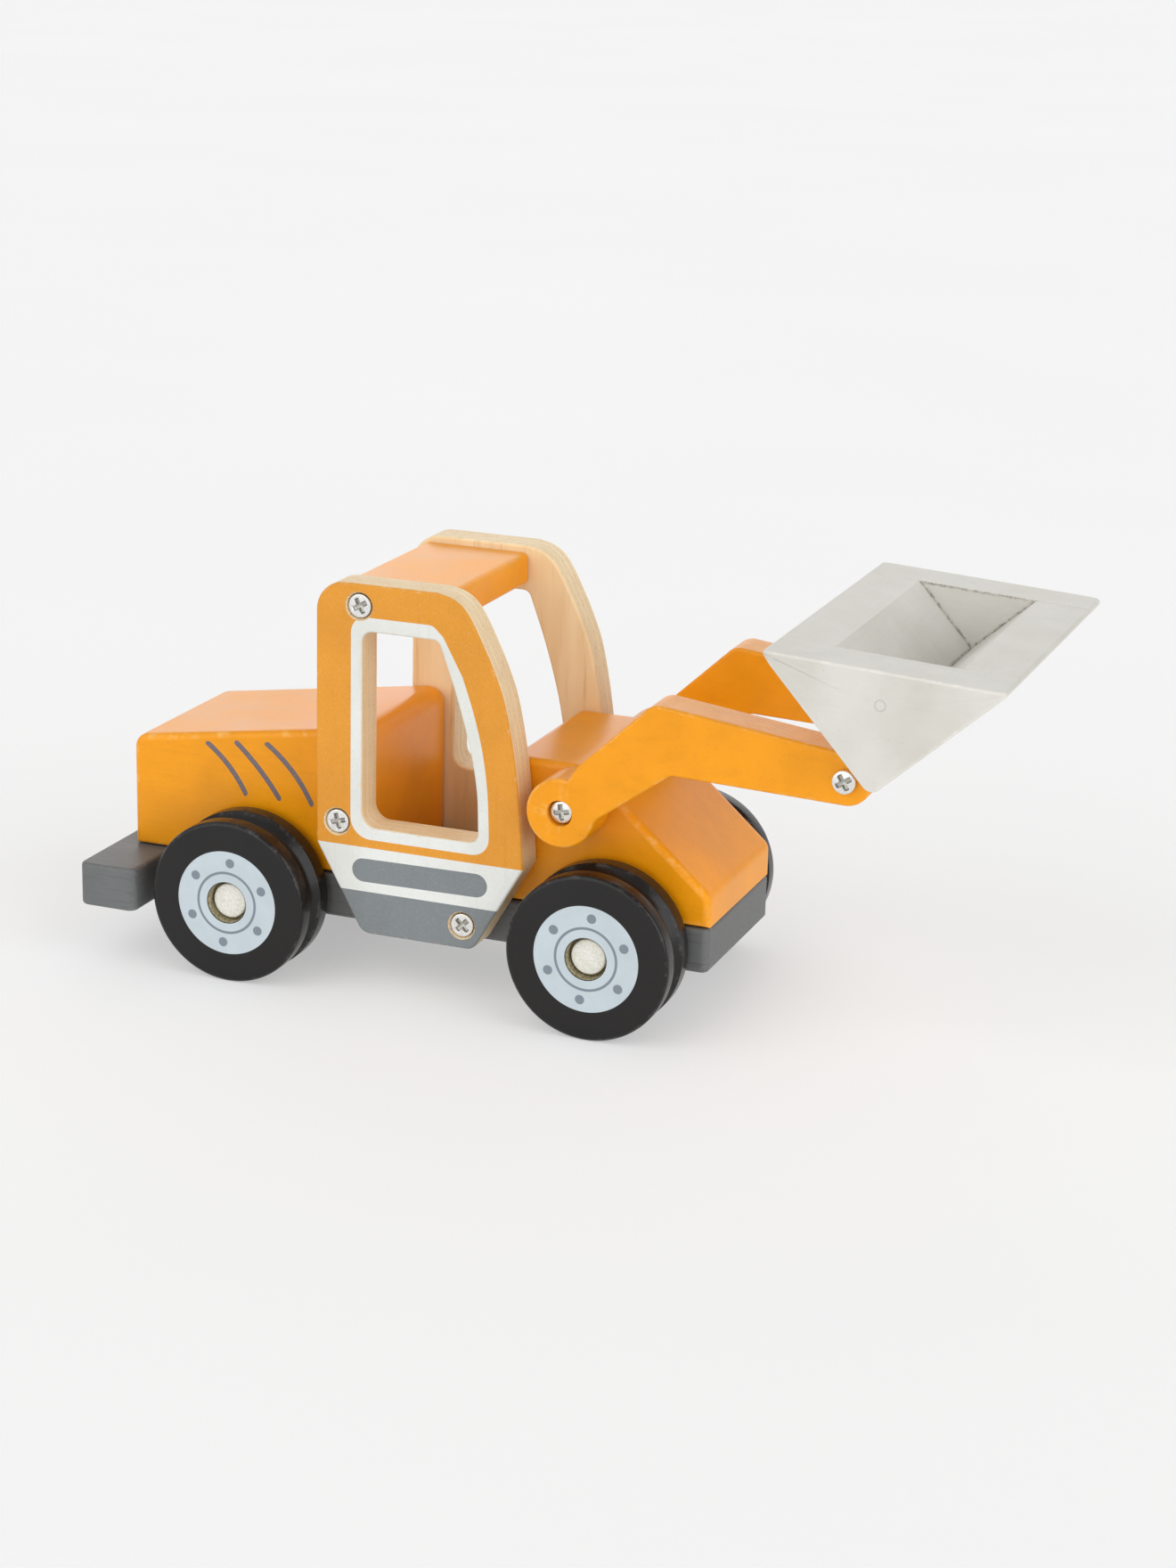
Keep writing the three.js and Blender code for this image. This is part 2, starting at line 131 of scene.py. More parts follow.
def edge_rings(soft, low, high, steps=5, band=1.0):
    """Profile across a board's edge as rows of (inset, height, wear): a quarter circle of
    radius soft at each face, and a straight wall between them."""
    t = np.linspace(0, math.pi / 2, steps + 1)
    band = min(band, (high - low) / 2 - soft - 0.05)
    inward = np.concatenate([[soft + SUPPORT], soft * (1 - np.sin(t)), [0]])
    height = np.concatenate([[0], soft * (1 - np.cos(t)), [soft + band]])
    wear = np.concatenate([[0], np.sin(2 * t) * 0.8 + 0.2, [0]])
    return (np.concatenate([inward, inward[::-1]]),
            np.concatenate([low + height, high - height[::-1]]),
            np.concatenate([wear, wear[::-1]]))


def wall(line, rings, side=1):
    """Rings of an outline stacked up a profile of (inset, height, wear)."""
    rows = [np.column_stack([inset(line, side * i), np.full(len(line), h)])
            for i, h in zip(rings[0], rings[1])]
    return np.concatenate(rows), grid_faces(len(rows), len(line)), np.repeat(rings[2], len(line))


def level(height, points, faces, number=0):
    """Patch of unworn faces drawn in a plane, laid at one height."""
    raised = np.column_stack([points, np.full(len(points), height)])
    return raised, faces, np.zeros(len(points)), number


def board(line, low, high, soft):
    """Patches of a board cut to an outline: two flat faces and a softened wall."""
    rings = edge_rings(soft, low, high)
    face = flat_face(inset(line, rings[0][0]))
    return [(*wall(line, rings), 0), level(low, *face[:2]), level(high, *face[:2])]


def upright(patches):
    """Turns patches drawn as (x, z, y) into (x, y, z)."""
    return [(points[:, [0, 2, 1]], *rest) for points, *rest in patches]


def make_piece(name, patches, materials, body, nodes, spots=None):
    """Joins patches of (points, faces, wear, material numbers) into one closed mesh in
    metres: doubles merged, faces turned outwards, wear kept as a point attribute. The same
    attribute drives the bucket's painted edge highlight, and on the screws it is the slot
    depth, which their steel darkens as painted shade."""
    points = np.concatenate([p[0] for p in patches])
    start = np.cumsum([0] + [len(p[0]) for p in patches])
    faces = [f for p, s in zip(patches, start) for f in (np.asarray(p[1]) + s).tolist()]
    numbers = np.concatenate([np.broadcast_to(p[3], len(p[1])) for p in patches])
    mesh = bpy.data.meshes.new(name)
    mesh.from_pydata(((points + [REAR_AXLE, 0, 0]) * 0.001).tolist(), [], faces)
    wear = np.concatenate([p[2] for p in patches]).astype(np.float32)
    mesh.attributes.new("edge_wear_highlight_and_slot_shade", "FLOAT", "POINT").data.foreach_set("value", wear)
    if spots is not None:
        spots = np.asarray(spots, np.float32).ravel()
        mesh.attributes.new("spot", "FLOAT_VECTOR", "POINT").data.foreach_set("vector", spots)
    mesh.polygons.foreach_set("material_index", numbers.astype(np.int32))
    for material in materials:
        mesh.materials.append(material)
    bm = bmesh.new()
    bm.from_mesh(mesh)
    bmesh.ops.remove_doubles(bm, verts=bm.verts, dist=1e-6)
    bmesh.ops.recalc_face_normals(bm, faces=bm.faces)
    bm.to_mesh(mesh)
    bm.free()
    mesh.polygons.foreach_set("use_smooth", np.ones(len(mesh.polygons), bool))
    mesh.set_sharp_from_angle(angle=math.radians(38))
    piece = bpy.data.objects.new(name, mesh)
    bpy.context.scene.collection.objects.link(piece)
    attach(piece, body)
    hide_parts(*nodes)
    return piece


def srgb(red, green, blue):
    """Linear colour for a display colour given in 0 to 255."""
    v = np.array([red, green, blue]) / 255
    return (*np.where(v <= 0.04045, v / 12.92, ((v + 0.055) / 1.055) ** 2.4).tolist(), 1.0)


def add(tree, kind, inputs=(), **settings):
    """Adds one node. Inputs are values, or outputs of other nodes to link from."""
    node = tree.nodes.new(kind)
    for key, value in settings.items():
        setattr(node, key, value)
    for key, value in dict(inputs).items():
        if isinstance(value, bpy.types.NodeSocket):
            tree.links.new(value, node.inputs[key])
        else:
            node.inputs[key].default_value = value
    return node


def math_of(tree, operation, *values):
    """Output of one Math node."""
    return add(tree, "ShaderNodeMath", dict(enumerate(values)), operation=operation).outputs[0]


def times(tree, a, b):
    """Product of two values."""
    return math_of(tree, "MULTIPLY", a, b)


def plus(tree, a, b):
    """Sum of two values."""
    return math_of(tree, "ADD", a, b)


def minus(tree, a, b):
    """First value less the second."""
    return math_of(tree, "SUBTRACT", a, b)


def size_of(tree, a):
    """Value without its sign."""
    return math_of(tree, "ABSOLUTE", a)


def part_of(tree, vector, axis):
    """One part of a vector: 0 for x, 1 for y, 2 for z."""
    return add(tree, "ShaderNodeSeparateXYZ", {0: vector}).outputs[axis]


def vector_of(tree, operation, *values, out=0):
    """Output of one Vector Math node."""
    sockets = dict(enumerate(values))
    return add(tree, "ShaderNodeVectorMath", sockets, operation=operation).outputs[out]


def ramp(tree, value, low, high, to_low=0.0, to_high=1.0):
    """Smooth step of a value from low to high."""
    sockets = {"Value": value, "From Min": low, "From Max": high,
               "To Min": to_low, "To Max": to_high}
    return add(tree, "ShaderNodeMapRange", sockets, interpolation_type="SMOOTHSTEP").outputs[0]


def noise(tree, place, scale, detail=3.0, rough=0.55):
    """Grey noise with grains about one over scale metres wide."""
    sockets = {"Vector": place, "Scale": scale, "Detail": detail, "Roughness": rough}
    return add(tree, "ShaderNodeTexNoise", sockets).outputs[0]


def blend(tree, factor, first, second, kind="MIX"):
    """Output of a colour mix."""
    node = add(tree, "ShaderNodeMix", data_type="RGBA", blend_type=kind)
    for number, value in {0: factor, 6: first, 7: second}.items():
        if isinstance(value, bpy.types.NodeSocket):
            tree.links.new(value, node.inputs[number])
        else:
            node.inputs[number].default_value = value
    return node.outputs[2]


def new_group(name, inputs, outputs):
    """Empty node group with named sockets; gives the tree and its input node."""
    tree = bpy.data.node_groups.new(name, "ShaderNodeTree")
    for kind, rows in (("INPUT", inputs), ("OUTPUT", outputs)):
        for label, socket in rows.items():
            tree.interface.new_socket(label, in_out=kind, socket_type="NodeSocket" + socket)
    return tree, tree.nodes.new("NodeGroupInput").outputs


def length_of(tree, a, b):
    """Square root of a squared plus b squared."""
    return math_of(tree, "SQRT", plus(tree, times(tree, a, a), times(tree, b, b)))


def give(tree, *values):
    """Links the values to the outputs of a group, in their order, and gives the group."""
    for socket, value in zip(add(tree, "NodeGroupOutput").inputs, values):
        tree.links.new(value, socket)
    return tree


def painted_wood():
    """Brushed paint on sanded wood: cloudy tone, fine streaks along the grain that also
    stand up in relief, pinholes, and edges rubbed through in patches."""
    tree, given = new_group(
        "painted wood",
        {"Place": "Vector", "Grain": "Vector", "Colour": "Color", "Rubbed": "Color",
         "Edge": "Float", "Gloss": "Float", "Streaks": "Float"},
        {"Colour": "Color", "Roughness": "Float", "Height": "Float"})
    along = vector_of(tree, "MULTIPLY", given["Place"], given["Grain"])
    cloud = noise(tree, given["Place"], 38, 3)
    streak = noise(tree, along, 950, 5, 0.62)
    peel = noise(tree, given["Place"], 1500, 2)
    scuff = noise(tree, given["Place"], 260, 6, 0.7)
    pin = noise(tree, given["Place"], 2300, 1)
    tone = blend(tree, ramp(tree, cloud, 0.3, 0.7), (0.9, 0.885, 0.86, 1), (1.03, 1.03, 1.03, 1))
    colour = blend(tree, 1.0, given["Colour"], tone, "MULTIPLY")
    line = times(tree, ramp(tree, streak, 0.5, 0.74), given["Streaks"])
    colour = blend(tree, line, colour, blend(tree, 1.0, colour, (0.5, 0.44, 0.38, 1), "MULTIPLY"))
    hole = times(tree, ramp(tree, pin, 0.7, 0.78), 0.3)
    colour = blend(tree, hole, colour, (0.03, 0.025, 0.02, 1))
    rub = times(tree, ramp(tree, scuff, 0.47, 0.66), given["Edge"])
    colour = blend(tree, times(tree, rub, 0.6), colour, given["Rubbed"])
    rough = plus(tree, given["Gloss"], ramp(tree, cloud, 0.25, 0.75, -0.05, 0.06))
    rough = plus(tree, rough, times(tree, rub, 0.18))
    relief = times(tree, minus(tree, 1.0, streak), 0.7)
    relief = plus(tree, relief, times(tree, peel, 0.35))
    relief = minus(tree, relief, times(tree, hole, 1.2))
    return give(tree, colour, rough, relief)


PAINTED_WOOD = painted_wood()


def new_material(name):
    """Material with a Principled shader; gives it, its tree, the shader and Object coordinates."""
    material = bpy.data.materials.new(name)
    material.use_nodes = True
    tree = material.node_tree
    shader = next(n for n in tree.nodes if n.type == "BSDF_PRINCIPLED")
    return material, tree, shader, add(tree, "ShaderNodeTexCoord").outputs["Object"]


def attribute(tree, name, output="Fac"):
    """Value of a mesh attribute."""
    return add(tree, "ShaderNodeAttribute", attribute_name=name).outputs[output]


def dress(tree, shader, colour, rough, height, deep):
    """Feeds a finish to the shader, its height as relief deep millimetres at most."""
    tree.links.new(colour, shader.inputs["Base Color"])
    tree.links.new(rough, shader.inputs["Roughness"])
    sockets = {"Height": height, "Distance": deep * 0.001, "Strength": 1.0}
    tree.links.new(add(tree, "ShaderNodeBump", sockets).outputs[0], shader.inputs["Normal"])


def paint(tree, place, colour, rubbed, grain, gloss, streaks):
    """The painted wood group, set for one paint; gives its three outputs."""
    return add(tree, "ShaderNodeGroup", {
        "Place": place, "Grain": grain, "Colour": colour, "Rubbed": rubbed,
        "Edge": attribute(tree, "edge_wear_highlight_and_slot_shade"), "Gloss": gloss, "Streaks": streaks,
    }, node_tree=PAINTED_WOOD).outputs


def grey_paint():
    material, tree, shader, place = new_material("dark_grey_paint")
    made = paint(tree, place, srgb(104, 106, 107), srgb(140, 140, 138), (0.07, 1, 1), 0.5, 0.5)
    dress(tree, shader, *made, 0.14)
    return material


def chassis_plank():
    """T-shaped outline in plan, raised between the plank's two heights."""
    line = rounded([
        (PLANK["rear"], -BUMPER["half"], 2.6), (BUMPER["front"], -BUMPER["half"], 2.6),
        (BUMPER["front"], -BODY_HALF, 1.2), (PLANK["front"], -BODY_HALF, 2.2),
        (PLANK["front"], BODY_HALF, 2.2), (BUMPER["front"], BODY_HALF, 1.2),
        (BUMPER["front"], BUMPER["half"], 2.6), (PLANK["rear"], BUMPER["half"], 2.6),
    ])
    return board(line, PLANK["low"], PLANK["top"], 1.1)


make_piece("chassis_plank_wood", chassis_plank(), [grey_paint()],
           "chassis", ["chassis_plank"])


# Rear hood
# A block of solid wood sawn to a rising top, its edges rounded over and the
# whole painted satin orange. Three bent strokes are printed on each side.
REAR_HOOD = [(-39.7, 29.8, 0), (34.6, 29.8, 0), (34.6, 73.5, 5), (-39.7, 62.5, 4.5)]
ORANGE, ORANGE_RUBBED = srgb(247, 160, 4), srgb(248, 194, 112)
STROKE_INK = srgb(112, 104, 112)
STROKES = [
    [(-15.6, 62.9), (-9.4, 57.4), (-4.0, 49.7)],
    [(-6.5, 64.2), (0.3, 57.6), (6.6, 49.6)],
    [(3.1, 65.0), (10.6, 58.4), (16.8, 49.3)],
]


def bent_stroke():
    """A stroke as a mask: with u along the chord and v across it, the distance from the
    parabola v = sag (1 - (u / half)^2), rounded off past both ends."""
    tree, given = new_group(
        "bent stroke",
        {"Place": "Vector", "Middle": "Vector", "Along": "Vector", "Across": "Vector",
         "Half": "Float", "Sag": "Float", "Width": "Float"},
        {"Mask": "Float"})
    off = vector_of(tree, "SUBTRACT", given["Place"], given["Middle"])
    u = vector_of(tree, "DOT_PRODUCT", off, given["Along"], out=1)
    v = vector_of(tree, "DOT_PRODUCT", off, given["Across"], out=1)
    share = math_of(tree, "POWER", math_of(tree, "DIVIDE", size_of(tree, u), given["Half"]), 2.0)
    bow = times(tree, given["Sag"], minus(tree, 1.0, share))
    v = minus(tree, v, bow)
    past = minus(tree, size_of(tree, u), given["Half"])
    past = math_of(tree, "MAXIMUM", past, 0.0)
    away = length_of(tree, past, v)
    mask = ramp(tree, minus(tree, away, given["Width"]), -0.00008, 0.00008, 1.0, 0.0)
    return give(tree, mask)


def gloss_coat(shader, shine, coat, coat_rough):
    """Sets how much the paint itself shines and the thin clear coat over it."""
    shader.inputs["Specular IOR Level"].default_value = shine
    shader.inputs["Coat Weight"].default_value = coat
    shader.inputs["Coat Roughness"].default_value = coat_rough


def hood_paint():
    material, tree, shader, place = new_material("orange_hood_paint")
    colour, rough, height = paint(tree, place, ORANGE, ORANGE_RUBBED, (0.08, 1, 1), 0.36, 0.1)
    group = bent_stroke()
    ink = None
    for start, middle, end in STROKES:
        a, m, b = (np.array([x + REAR_AXLE, 0, z]) * 0.001 for x, z in (start, middle, end))
        chord, centre = b - a, (a + b) / 2
        half = np.linalg.norm(chord) / 2
        along = chord / (2 * half)
        across = np.array([-along[2], 0, along[0]])
        mask = add(tree, "ShaderNodeGroup", {
            "Place": place, "Middle": centre, "Along": along, "Across": across,
            "Half": half, "Sag": float((m - centre) @ across), "Width": 0.0008,
        }, node_tree=group).outputs[0]
        ink = mask if ink is None else math_of(tree, "MAXIMUM", ink, mask)
    across_y = size_of(tree, part_of(tree, place, 1))
    ink = times(tree, ink, ramp(tree, across_y, 0.0262, 0.0265))
    worn = ramp(tree, noise(tree, place, 1900, 2), 0.3, 0.5, 0.82, 1.0)
    colour = blend(tree, times(tree, ink, worn), colour, STROKE_INK)
    dress(tree, shader, colour, rough, height, 0.07)
    gloss_coat(shader, 0.3, 0.08, 0.22)
    return material


HOOD_PAINT = hood_paint()
make_piece("rear_hood_wood", upright(board(rounded(REAR_HOOD), -BODY_HALF, BODY_HALF, 1.9)),
           [HOOD_PAINT], "chassis", ["rear_hood"])


# Front hood
# The engine block between the lift arms: solid wood with a long sloping nose
# and a soft bend at its top, rounded over and painted like the rear hood.
FRONT_HOOD = [(76, 29.8, 0), (135.9, 29.8, 0), (135.9, 38.7, 4), (99.2, 71.2, 14), (76, 71.2, 3)]

make_piece("front_hood_wood", upright(board(rounded(FRONT_HOOD, 12), -BODY_HALF, BODY_HALF, 1.9)),
           [HOOD_PAINT], "chassis", ["front_hood"])


# Cab roof
# A flat block of solid wood screwed between the two cab sides, painted orange
# with crisp, lightly sanded edges.
ROOF = [(27.3, 106.3, 1.5), (59.8, 106.3, 1.5), (59.8, 115.5, 2), (27.3, 115.5, 2)]

make_piece("cab_roof_wood", upright(board(rounded(ROOF), -BODY_HALF, BODY_HALF, 0.6)),
           [HOOD_PAINT], "chassis", ["cab_roof"])


# Cab sides
# Two plates of birch plywood with a window sawn out. The outer face is printed
# orange, white and grey; the inner face and the sawn edges are clear lacquer.
CAB_INNER, CAB_PLY, CAB_SOFT = 27.0, 10.5, 0.7
CAB_SILL, SKIRT_LINE = 42.7, 29.8
CAB_FRONT = [
    (85.7, 42.7), (84.5, 58), (82.7, 72.9), (79.7, 88), (76.3, 97.4),
    (72.9, 104.5), (70.1, 109.8), (67.3, 113.8), (63.6, 116.3), (59.4, 117.4),
]
WINDOW_FRONT = [(72.1, 53), (71.7, 62), (70.3, 71), (67.8, 81), (64.7, 91), (61.9, 98.6)]
SURROUND_FRONT = [(75.5, 52), (75.1, 61.1), (74.3, 68.5), (72.8, 76.8), (70.3, 85.9), (67.1, 95)]
VENTED_SLOT = {"rear": 34.6, "front": 75.3, "rear_z": 36.0, "front_z": 36.4, "r": 3.4}
CAB_SCREWS = {"roof": (36.4, 111.2), "hood": (29.9, 49.1), "plank": (67.8, 24.1)}
POCKET, POCKET_SIDES = [(4.05, 0), (3.95, -0.12), (3.5, -1.15), (3.36, -2.2), (0, -2.2)], 48


def smooth_line(points, steps):
    """Catmull-Rom curve through the points, as corners of radius 0."""
    p = np.array(points, float)
    p = np.concatenate([[2 * p[0] - p[1]], p, [2 * p[-1] - p[-2]]])
    p0, p1, p2, p3 = (q[:, None, :] for q in (p[:-3], p[1:-2], p[2:-1], p[3:]))
    t = np.linspace(0, 1, steps, endpoint=False)[None, :, None]
    curve = 0.5 * (2 * p1 + (p2 - p0) * t + (2 * p0 - 5 * p1 + 4 * p2 - p3) * t**2
                   + (3 * p1 - p0 - 3 * p2 + p3) * t**3)
    curve = np.concatenate([curve.reshape(-1, 2), p[-2:-1]])
    return [(x, z, 0) for x, z in curve.tolist()]


def ring(centre, radius):
    """Circle of points round a centre."""
    a = np.linspace(0, 2 * math.pi, POCKET_SIDES, endpoint=False)
    return np.array(centre) + radius * np.stack([np.cos(a), np.sin(a)], 1)


def slot_line():
    """A long slot: a half circle round each end point."""
    s = VENTED_SLOT
    a = np.linspace(math.pi / 2, 3 * math.pi / 2, 15)
    bend = s["r"] * np.stack([np.cos(a), np.sin(a)], 1)
    ends = np.array([[s["rear"] + s["r"], s["rear_z"]], [s["front"] - s["r"], s["front_z"]]])
    return np.concatenate([ends[0] + bend, ends[1] - bend])


def fine(line, gap):
    """The outline with extra points, so that none lie further apart than gap."""
    closed = np.concatenate([line, line[:1]])
    run = np.concatenate([[0], np.cumsum(np.linalg.norm(np.diff(closed, axis=0), axis=1))])
    at = np.union1d(run, np.arange(0, run[-1], gap))[:-1]
    at = at[np.concatenate([[True], np.diff(at) > 0.05])]
    return np.column_stack([np.interp(at, run, closed[:, 0]), np.interp(at, run, closed[:, 1])])


def pass_round(line, centre, radius):
    """The outline with each point nearer to the centre than the radius pushed straight out
    to the circle."""
    off = line - centre
    far = np.linalg.norm(off, axis=1, keepdims=True)
    return np.where(far < radius, centre + off * radius / far, line)


def drilled(at, profile, face, wear, number):
    """Wall and floor of a turned pocket: a circle of each profile radius, at the height of
    the face plus the profile's own."""
    rows = [np.column_stack([ring(at, r), np.full(POCKET_SIDES, face + h)]) for r, h in profile]
    wear = np.repeat(wear, POCKET_SIDES)
    return np.concatenate(rows), grid_faces(len(rows), POCKET_SIDES), wear, number


def on_side(patches, side, inner):
    """Patches drawn as (x, z, outwards), stood up on one side of the toy from an inner face."""
    return [(np.column_stack([p[:, 0], side * (inner + p[:, 2]), p[:, 1]]), *rest)
            for p, *rest in patches]


def cab_side(side):
    """Plate with a window: walls round both outlines, a face on each side, and three
    turned pockets for screws. Material 0 is plywood, 1 print, 2 white, 3 grey, 4 raw wood."""
    outer = rounded([(23.5, 117.4, 8.5), (23.5, 42.7, 3), (37.6, 17.4, 4), (71.3, 17.4, 4),
                     *smooth_line(CAB_FRONT, 6)], 10)
    window = rounded([(37.2, 104.2, 3), (37.2, 48.4, 4.5), (72.2, 48.4, 2.8),
                      *smooth_line(WINDOW_FRONT, 5), (59.8, 104.2, 2.5)], 8)
    surround = rounded([(34, 108.3, 4.5), (34, 45.1, 6), (75.6, 45.1, 5),
                        *smooth_line(SURROUND_FRONT, 5), (61.3, 105.4, 2), (58.2, 108.3, 3)], 8)
    surround = pass_round(fine(surround, 0.4), np.array(CAB_SCREWS["roof"]), POCKET[0][0] + 0.05)
    rings = edge_rings(CAB_SOFT, 0, CAB_PLY)
    patches = []
    for line, way, ink in ((outer, 1, 1), (window, -1, 2)):
        points, faces, wear = wall(line, rings, way)
        height = points[faces][:, :, 2].mean(1)
        patches.append((points, faces, wear, np.where(height > CAB_PLY - CAB_SOFT * 0.62, ink, 0)))
    start = rings[0][0]
    inner, open_window = inset(outer, start), inset(window, -start)
    patches.append(level(0, *flat_face(inner, [open_window])[:2]))
    pockets = [ring(at, POCKET[0][0]) for at in CAB_SCREWS.values()]
    slot = slot_line()
    points, faces, middles = flat_face(inner, [open_window, *pockets], [surround, slot])
    ink = np.where(inside(middles, surround), 2, np.where(inside(middles, slot), 3, 1))
    patches.append(level(CAB_PLY, points, faces, ink))
    patches += [drilled(at, POCKET, CAB_PLY, np.zeros(len(POCKET)), 4)
                for at in CAB_SCREWS.values()]
    return on_side(patches, side, CAB_INNER)


def birch_plies():
    """Plywood seen on a sawn edge: Layer counts plies from the inner face. Even plies show
    long pale grain, odd plies darker end grain, with a thin brown glue line between."""
    tree, given = new_group("birch plies", {"Place": "Vector", "Layer": "Float"},
                            {"Colour": "Color", "Roughness": "Float", "Height": "Float"})
    wander = times(tree, minus(tree, noise(tree, given["Place"], 120, 2), 0.5), 0.16)
    layer = plus(tree, given["Layer"], wander)
    part = math_of(tree, "FRACT", layer)
    odd = math_of(tree, "GREATER_THAN", math_of(tree, "FRACT", times(tree, layer, 0.5)), 0.5)
    glue = ramp(tree, size_of(tree, minus(tree, part, 0.5)), 0.42, 0.5)
    glue = times(tree, glue, ramp(tree, given["Layer"], 0.3, 0.9))
    upright_grain = vector_of(tree, "MULTIPLY", given["Place"], (1, 1, 0.06))
    streak = noise(tree, upright_grain, 620, 5, 0.65)
    figure = noise(tree, vector_of(tree, "MULTIPLY", given["Place"], (1, 1, 0.16)), 90, 3)
    pores = noise(tree, given["Place"], 1900, 3, 0.7)
    pale = blend(tree, ramp(tree, figure, 0.3, 0.72), srgb(250, 226, 182), srgb(236, 204, 152))
    pale = blend(tree, ramp(tree, streak, 0.52, 0.76, 0, 0.55), pale, srgb(206, 168, 116))
    end = blend(tree, ramp(tree, pores, 0.35, 0.7), srgb(246, 226, 192), srgb(216, 186, 146))
    colour = blend(tree, times(tree, odd, 0.62), pale, end)
    colour = blend(tree, times(tree, glue, 0.5), colour, srgb(158, 122, 84))
    rough = ramp(tree, streak, 0.2, 0.8, 0.42, 0.58)
    height = minus(tree, times(tree, streak, -0.5), times(tree, glue, 0.7))
    height = plus(tree, height, times(tree, times(tree, pores, odd), 0.5))
    return give(tree, colour, rough, height)


def printed_skin():
    """Ink on lacquered veneer: slight clouding, the faint upright grain below, a fine
    stipple, and pale nicks where the edge has lost its ink."""
    tree, given = new_group("printed skin", {"Place": "Vector", "Colour": "Color", "Edge": "Float"},
                            {"Colour": "Color", "Roughness": "Float", "Height": "Float"})
    grain = noise(tree, vector_of(tree, "MULTIPLY", given["Place"], (1, 1, 0.07)), 700, 4, 0.6)
    stipple = noise(tree, given["Place"], 2600, 2, 0.8)
    cloud = noise(tree, given["Place"], 45, 3)
    tone = blend(tree, ramp(tree, cloud, 0.3, 0.7), (0.93, 0.92, 0.9, 1), (1.03, 1.03, 1.03, 1))
    colour = blend(tree, 1.0, given["Colour"], tone, "MULTIPLY")
    colour = blend(tree, ramp(tree, stipple, 0.56, 0.72, 0, 0.28), colour,
                   blend(tree, 1.0, colour, (0.5, 0.47, 0.45, 1), "MULTIPLY"))
    colour = blend(tree, ramp(tree, stipple, 0.3, 0.42, 0.12, 0), colour, (0.9, 0.85, 0.75, 1))
    colour = blend(tree, ramp(tree, grain, 0.55, 0.75, 0, 0.1), colour,
                   blend(tree, 1.0, colour, (0.5, 0.42, 0.35, 1), "MULTIPLY"))
    chips = noise(tree, given["Place"], 420, 5, 0.7)
    nick = times(tree, ramp(tree, chips, 0.56, 0.68), given["Edge"])
    colour = blend(tree, times(tree, nick, 0.6), colour, srgb(228, 200, 156))
    rough = ramp(tree, cloud, 0.25, 0.75, 0.4, 0.52)
    height = plus(tree, times(tree, stipple, 0.6), times(tree, grain, -0.5))
    return give(tree, colour, rough, height)


BIRCH_PLIES, PRINTED_SKIN = birch_plies(), printed_skin()


def ply_layer(tree, place, inner, thick, plies):
    """How many plies out from the inner face a point lies."""
    out = size_of(tree, part_of(tree, place, 1))
    out = minus(tree, out, inner * 0.001)
    layer = times(tree, out, plies / (thick * 0.001))
    return math_of(tree, "MINIMUM", math_of(tree, "MAXIMUM", layer, 0.12), plies - 0.12)


def plies_at(tree, place, layer):
    """The birch plies group at one layer; gives its three outputs."""
    sockets = {"Place": place, "Layer": layer}
    return add(tree, "ShaderNodeGroup", sockets, node_tree=BIRCH_PLIES).outputs


def birch_edge():
    material, tree, shader, place = new_material("clear_birch_plywood")
    layer = ply_layer(tree, place, CAB_INNER, CAB_PLY, 7)
    dress(tree, shader, *plies_at(tree, place, layer), 0.12)
    return material


def pocket_wood():
    material, tree, shader, place = new_material("raw_drilled_birch")
    made = plies_at(tree, place, 1.5)
    torn = ramp(tree, noise(tree, place, 1500, 4, 0.8), 0.45, 0.7)
    colour = blend(tree, times(tree, torn, 0.5), made[0], srgb(120, 92, 60))
    dress(tree, shader, colour, made[1], made[2], 0.3)
    return material


def printed(name, colour=None):
    """Print of one colour, or of the cab's three bands from roof to skirt."""
    material, tree, shader, place = new_material(name)
    if colour is None:
        z = part_of(tree, place, 2)
        bands = [ramp(tree, z, (line - 0.06) * 0.001, (line + 0.06) * 0.001)
                 for line in (SKIRT_LINE, CAB_SILL)]
        colour = blend(tree, bands[0], SKIRT_INK, WHITE_INK)
        colour = blend(tree, bands[1], colour, CAB_INK)
    made = add(tree, "ShaderNodeGroup", {
        "Place": place, "Colour": colour, "Edge": attribute(tree, "edge_wear_highlight_and_slot_shade"),
    }, node_tree=PRINTED_SKIN).outputs
    dress(tree, shader, *made, 0.05)
    shader.inputs["Specular IOR Level"].default_value = 0.35
    return material


CAB_INK, WHITE_INK, SKIRT_INK = srgb(226, 152, 44), srgb(228, 230, 226), srgb(126, 132, 135)
CAB_FINISHES = [birch_edge(), printed("cab_band_print"), printed("cab_white_print", WHITE_INK),
                printed("cab_slot_print", SKIRT_INK), pocket_wood()]
for word, side in (("right", -1), ("left", 1)):
    make_piece(f"cab_side_{word}_ply", cab_side(side), CAB_FINISHES,
               "chassis", [f"cab_side_{word}"])


# Cab screws
# Six countersunk wood screws of zinc-plated steel, three through each cab side
# into the roof, the rear hood and the plank, with a cross slot in each head.
SCREW = {"head": 3.3, "shank": 1.7, "length": 22.0}
THREAD_PITCH = 1.35


def cross_slot(a, b, reach, width, deep):
    """Depth of a cross slot: full depth where |a| or |b| is under half the width and the
    other is under the reach, with walls that lean out towards the top."""
    def arm(along, across):
        room = np.minimum((reach - np.abs(along)) / 0.5, (width / 2 - np.abs(across)) / 0.26)
        return np.clip(room + 0.5, 0, 1)
    round_middle = np.clip((1.0 - np.hypot(a, b)) / 0.3, 0, 1)
    full = np.maximum.reduce([arm(a, b), arm(b, a), round_middle])
    full = full * full * (3 - 2 * full)
    taper = 1 - 0.45 * np.clip(np.hypot(a, b) / reach, 0, 1)
    return deep * full * taper


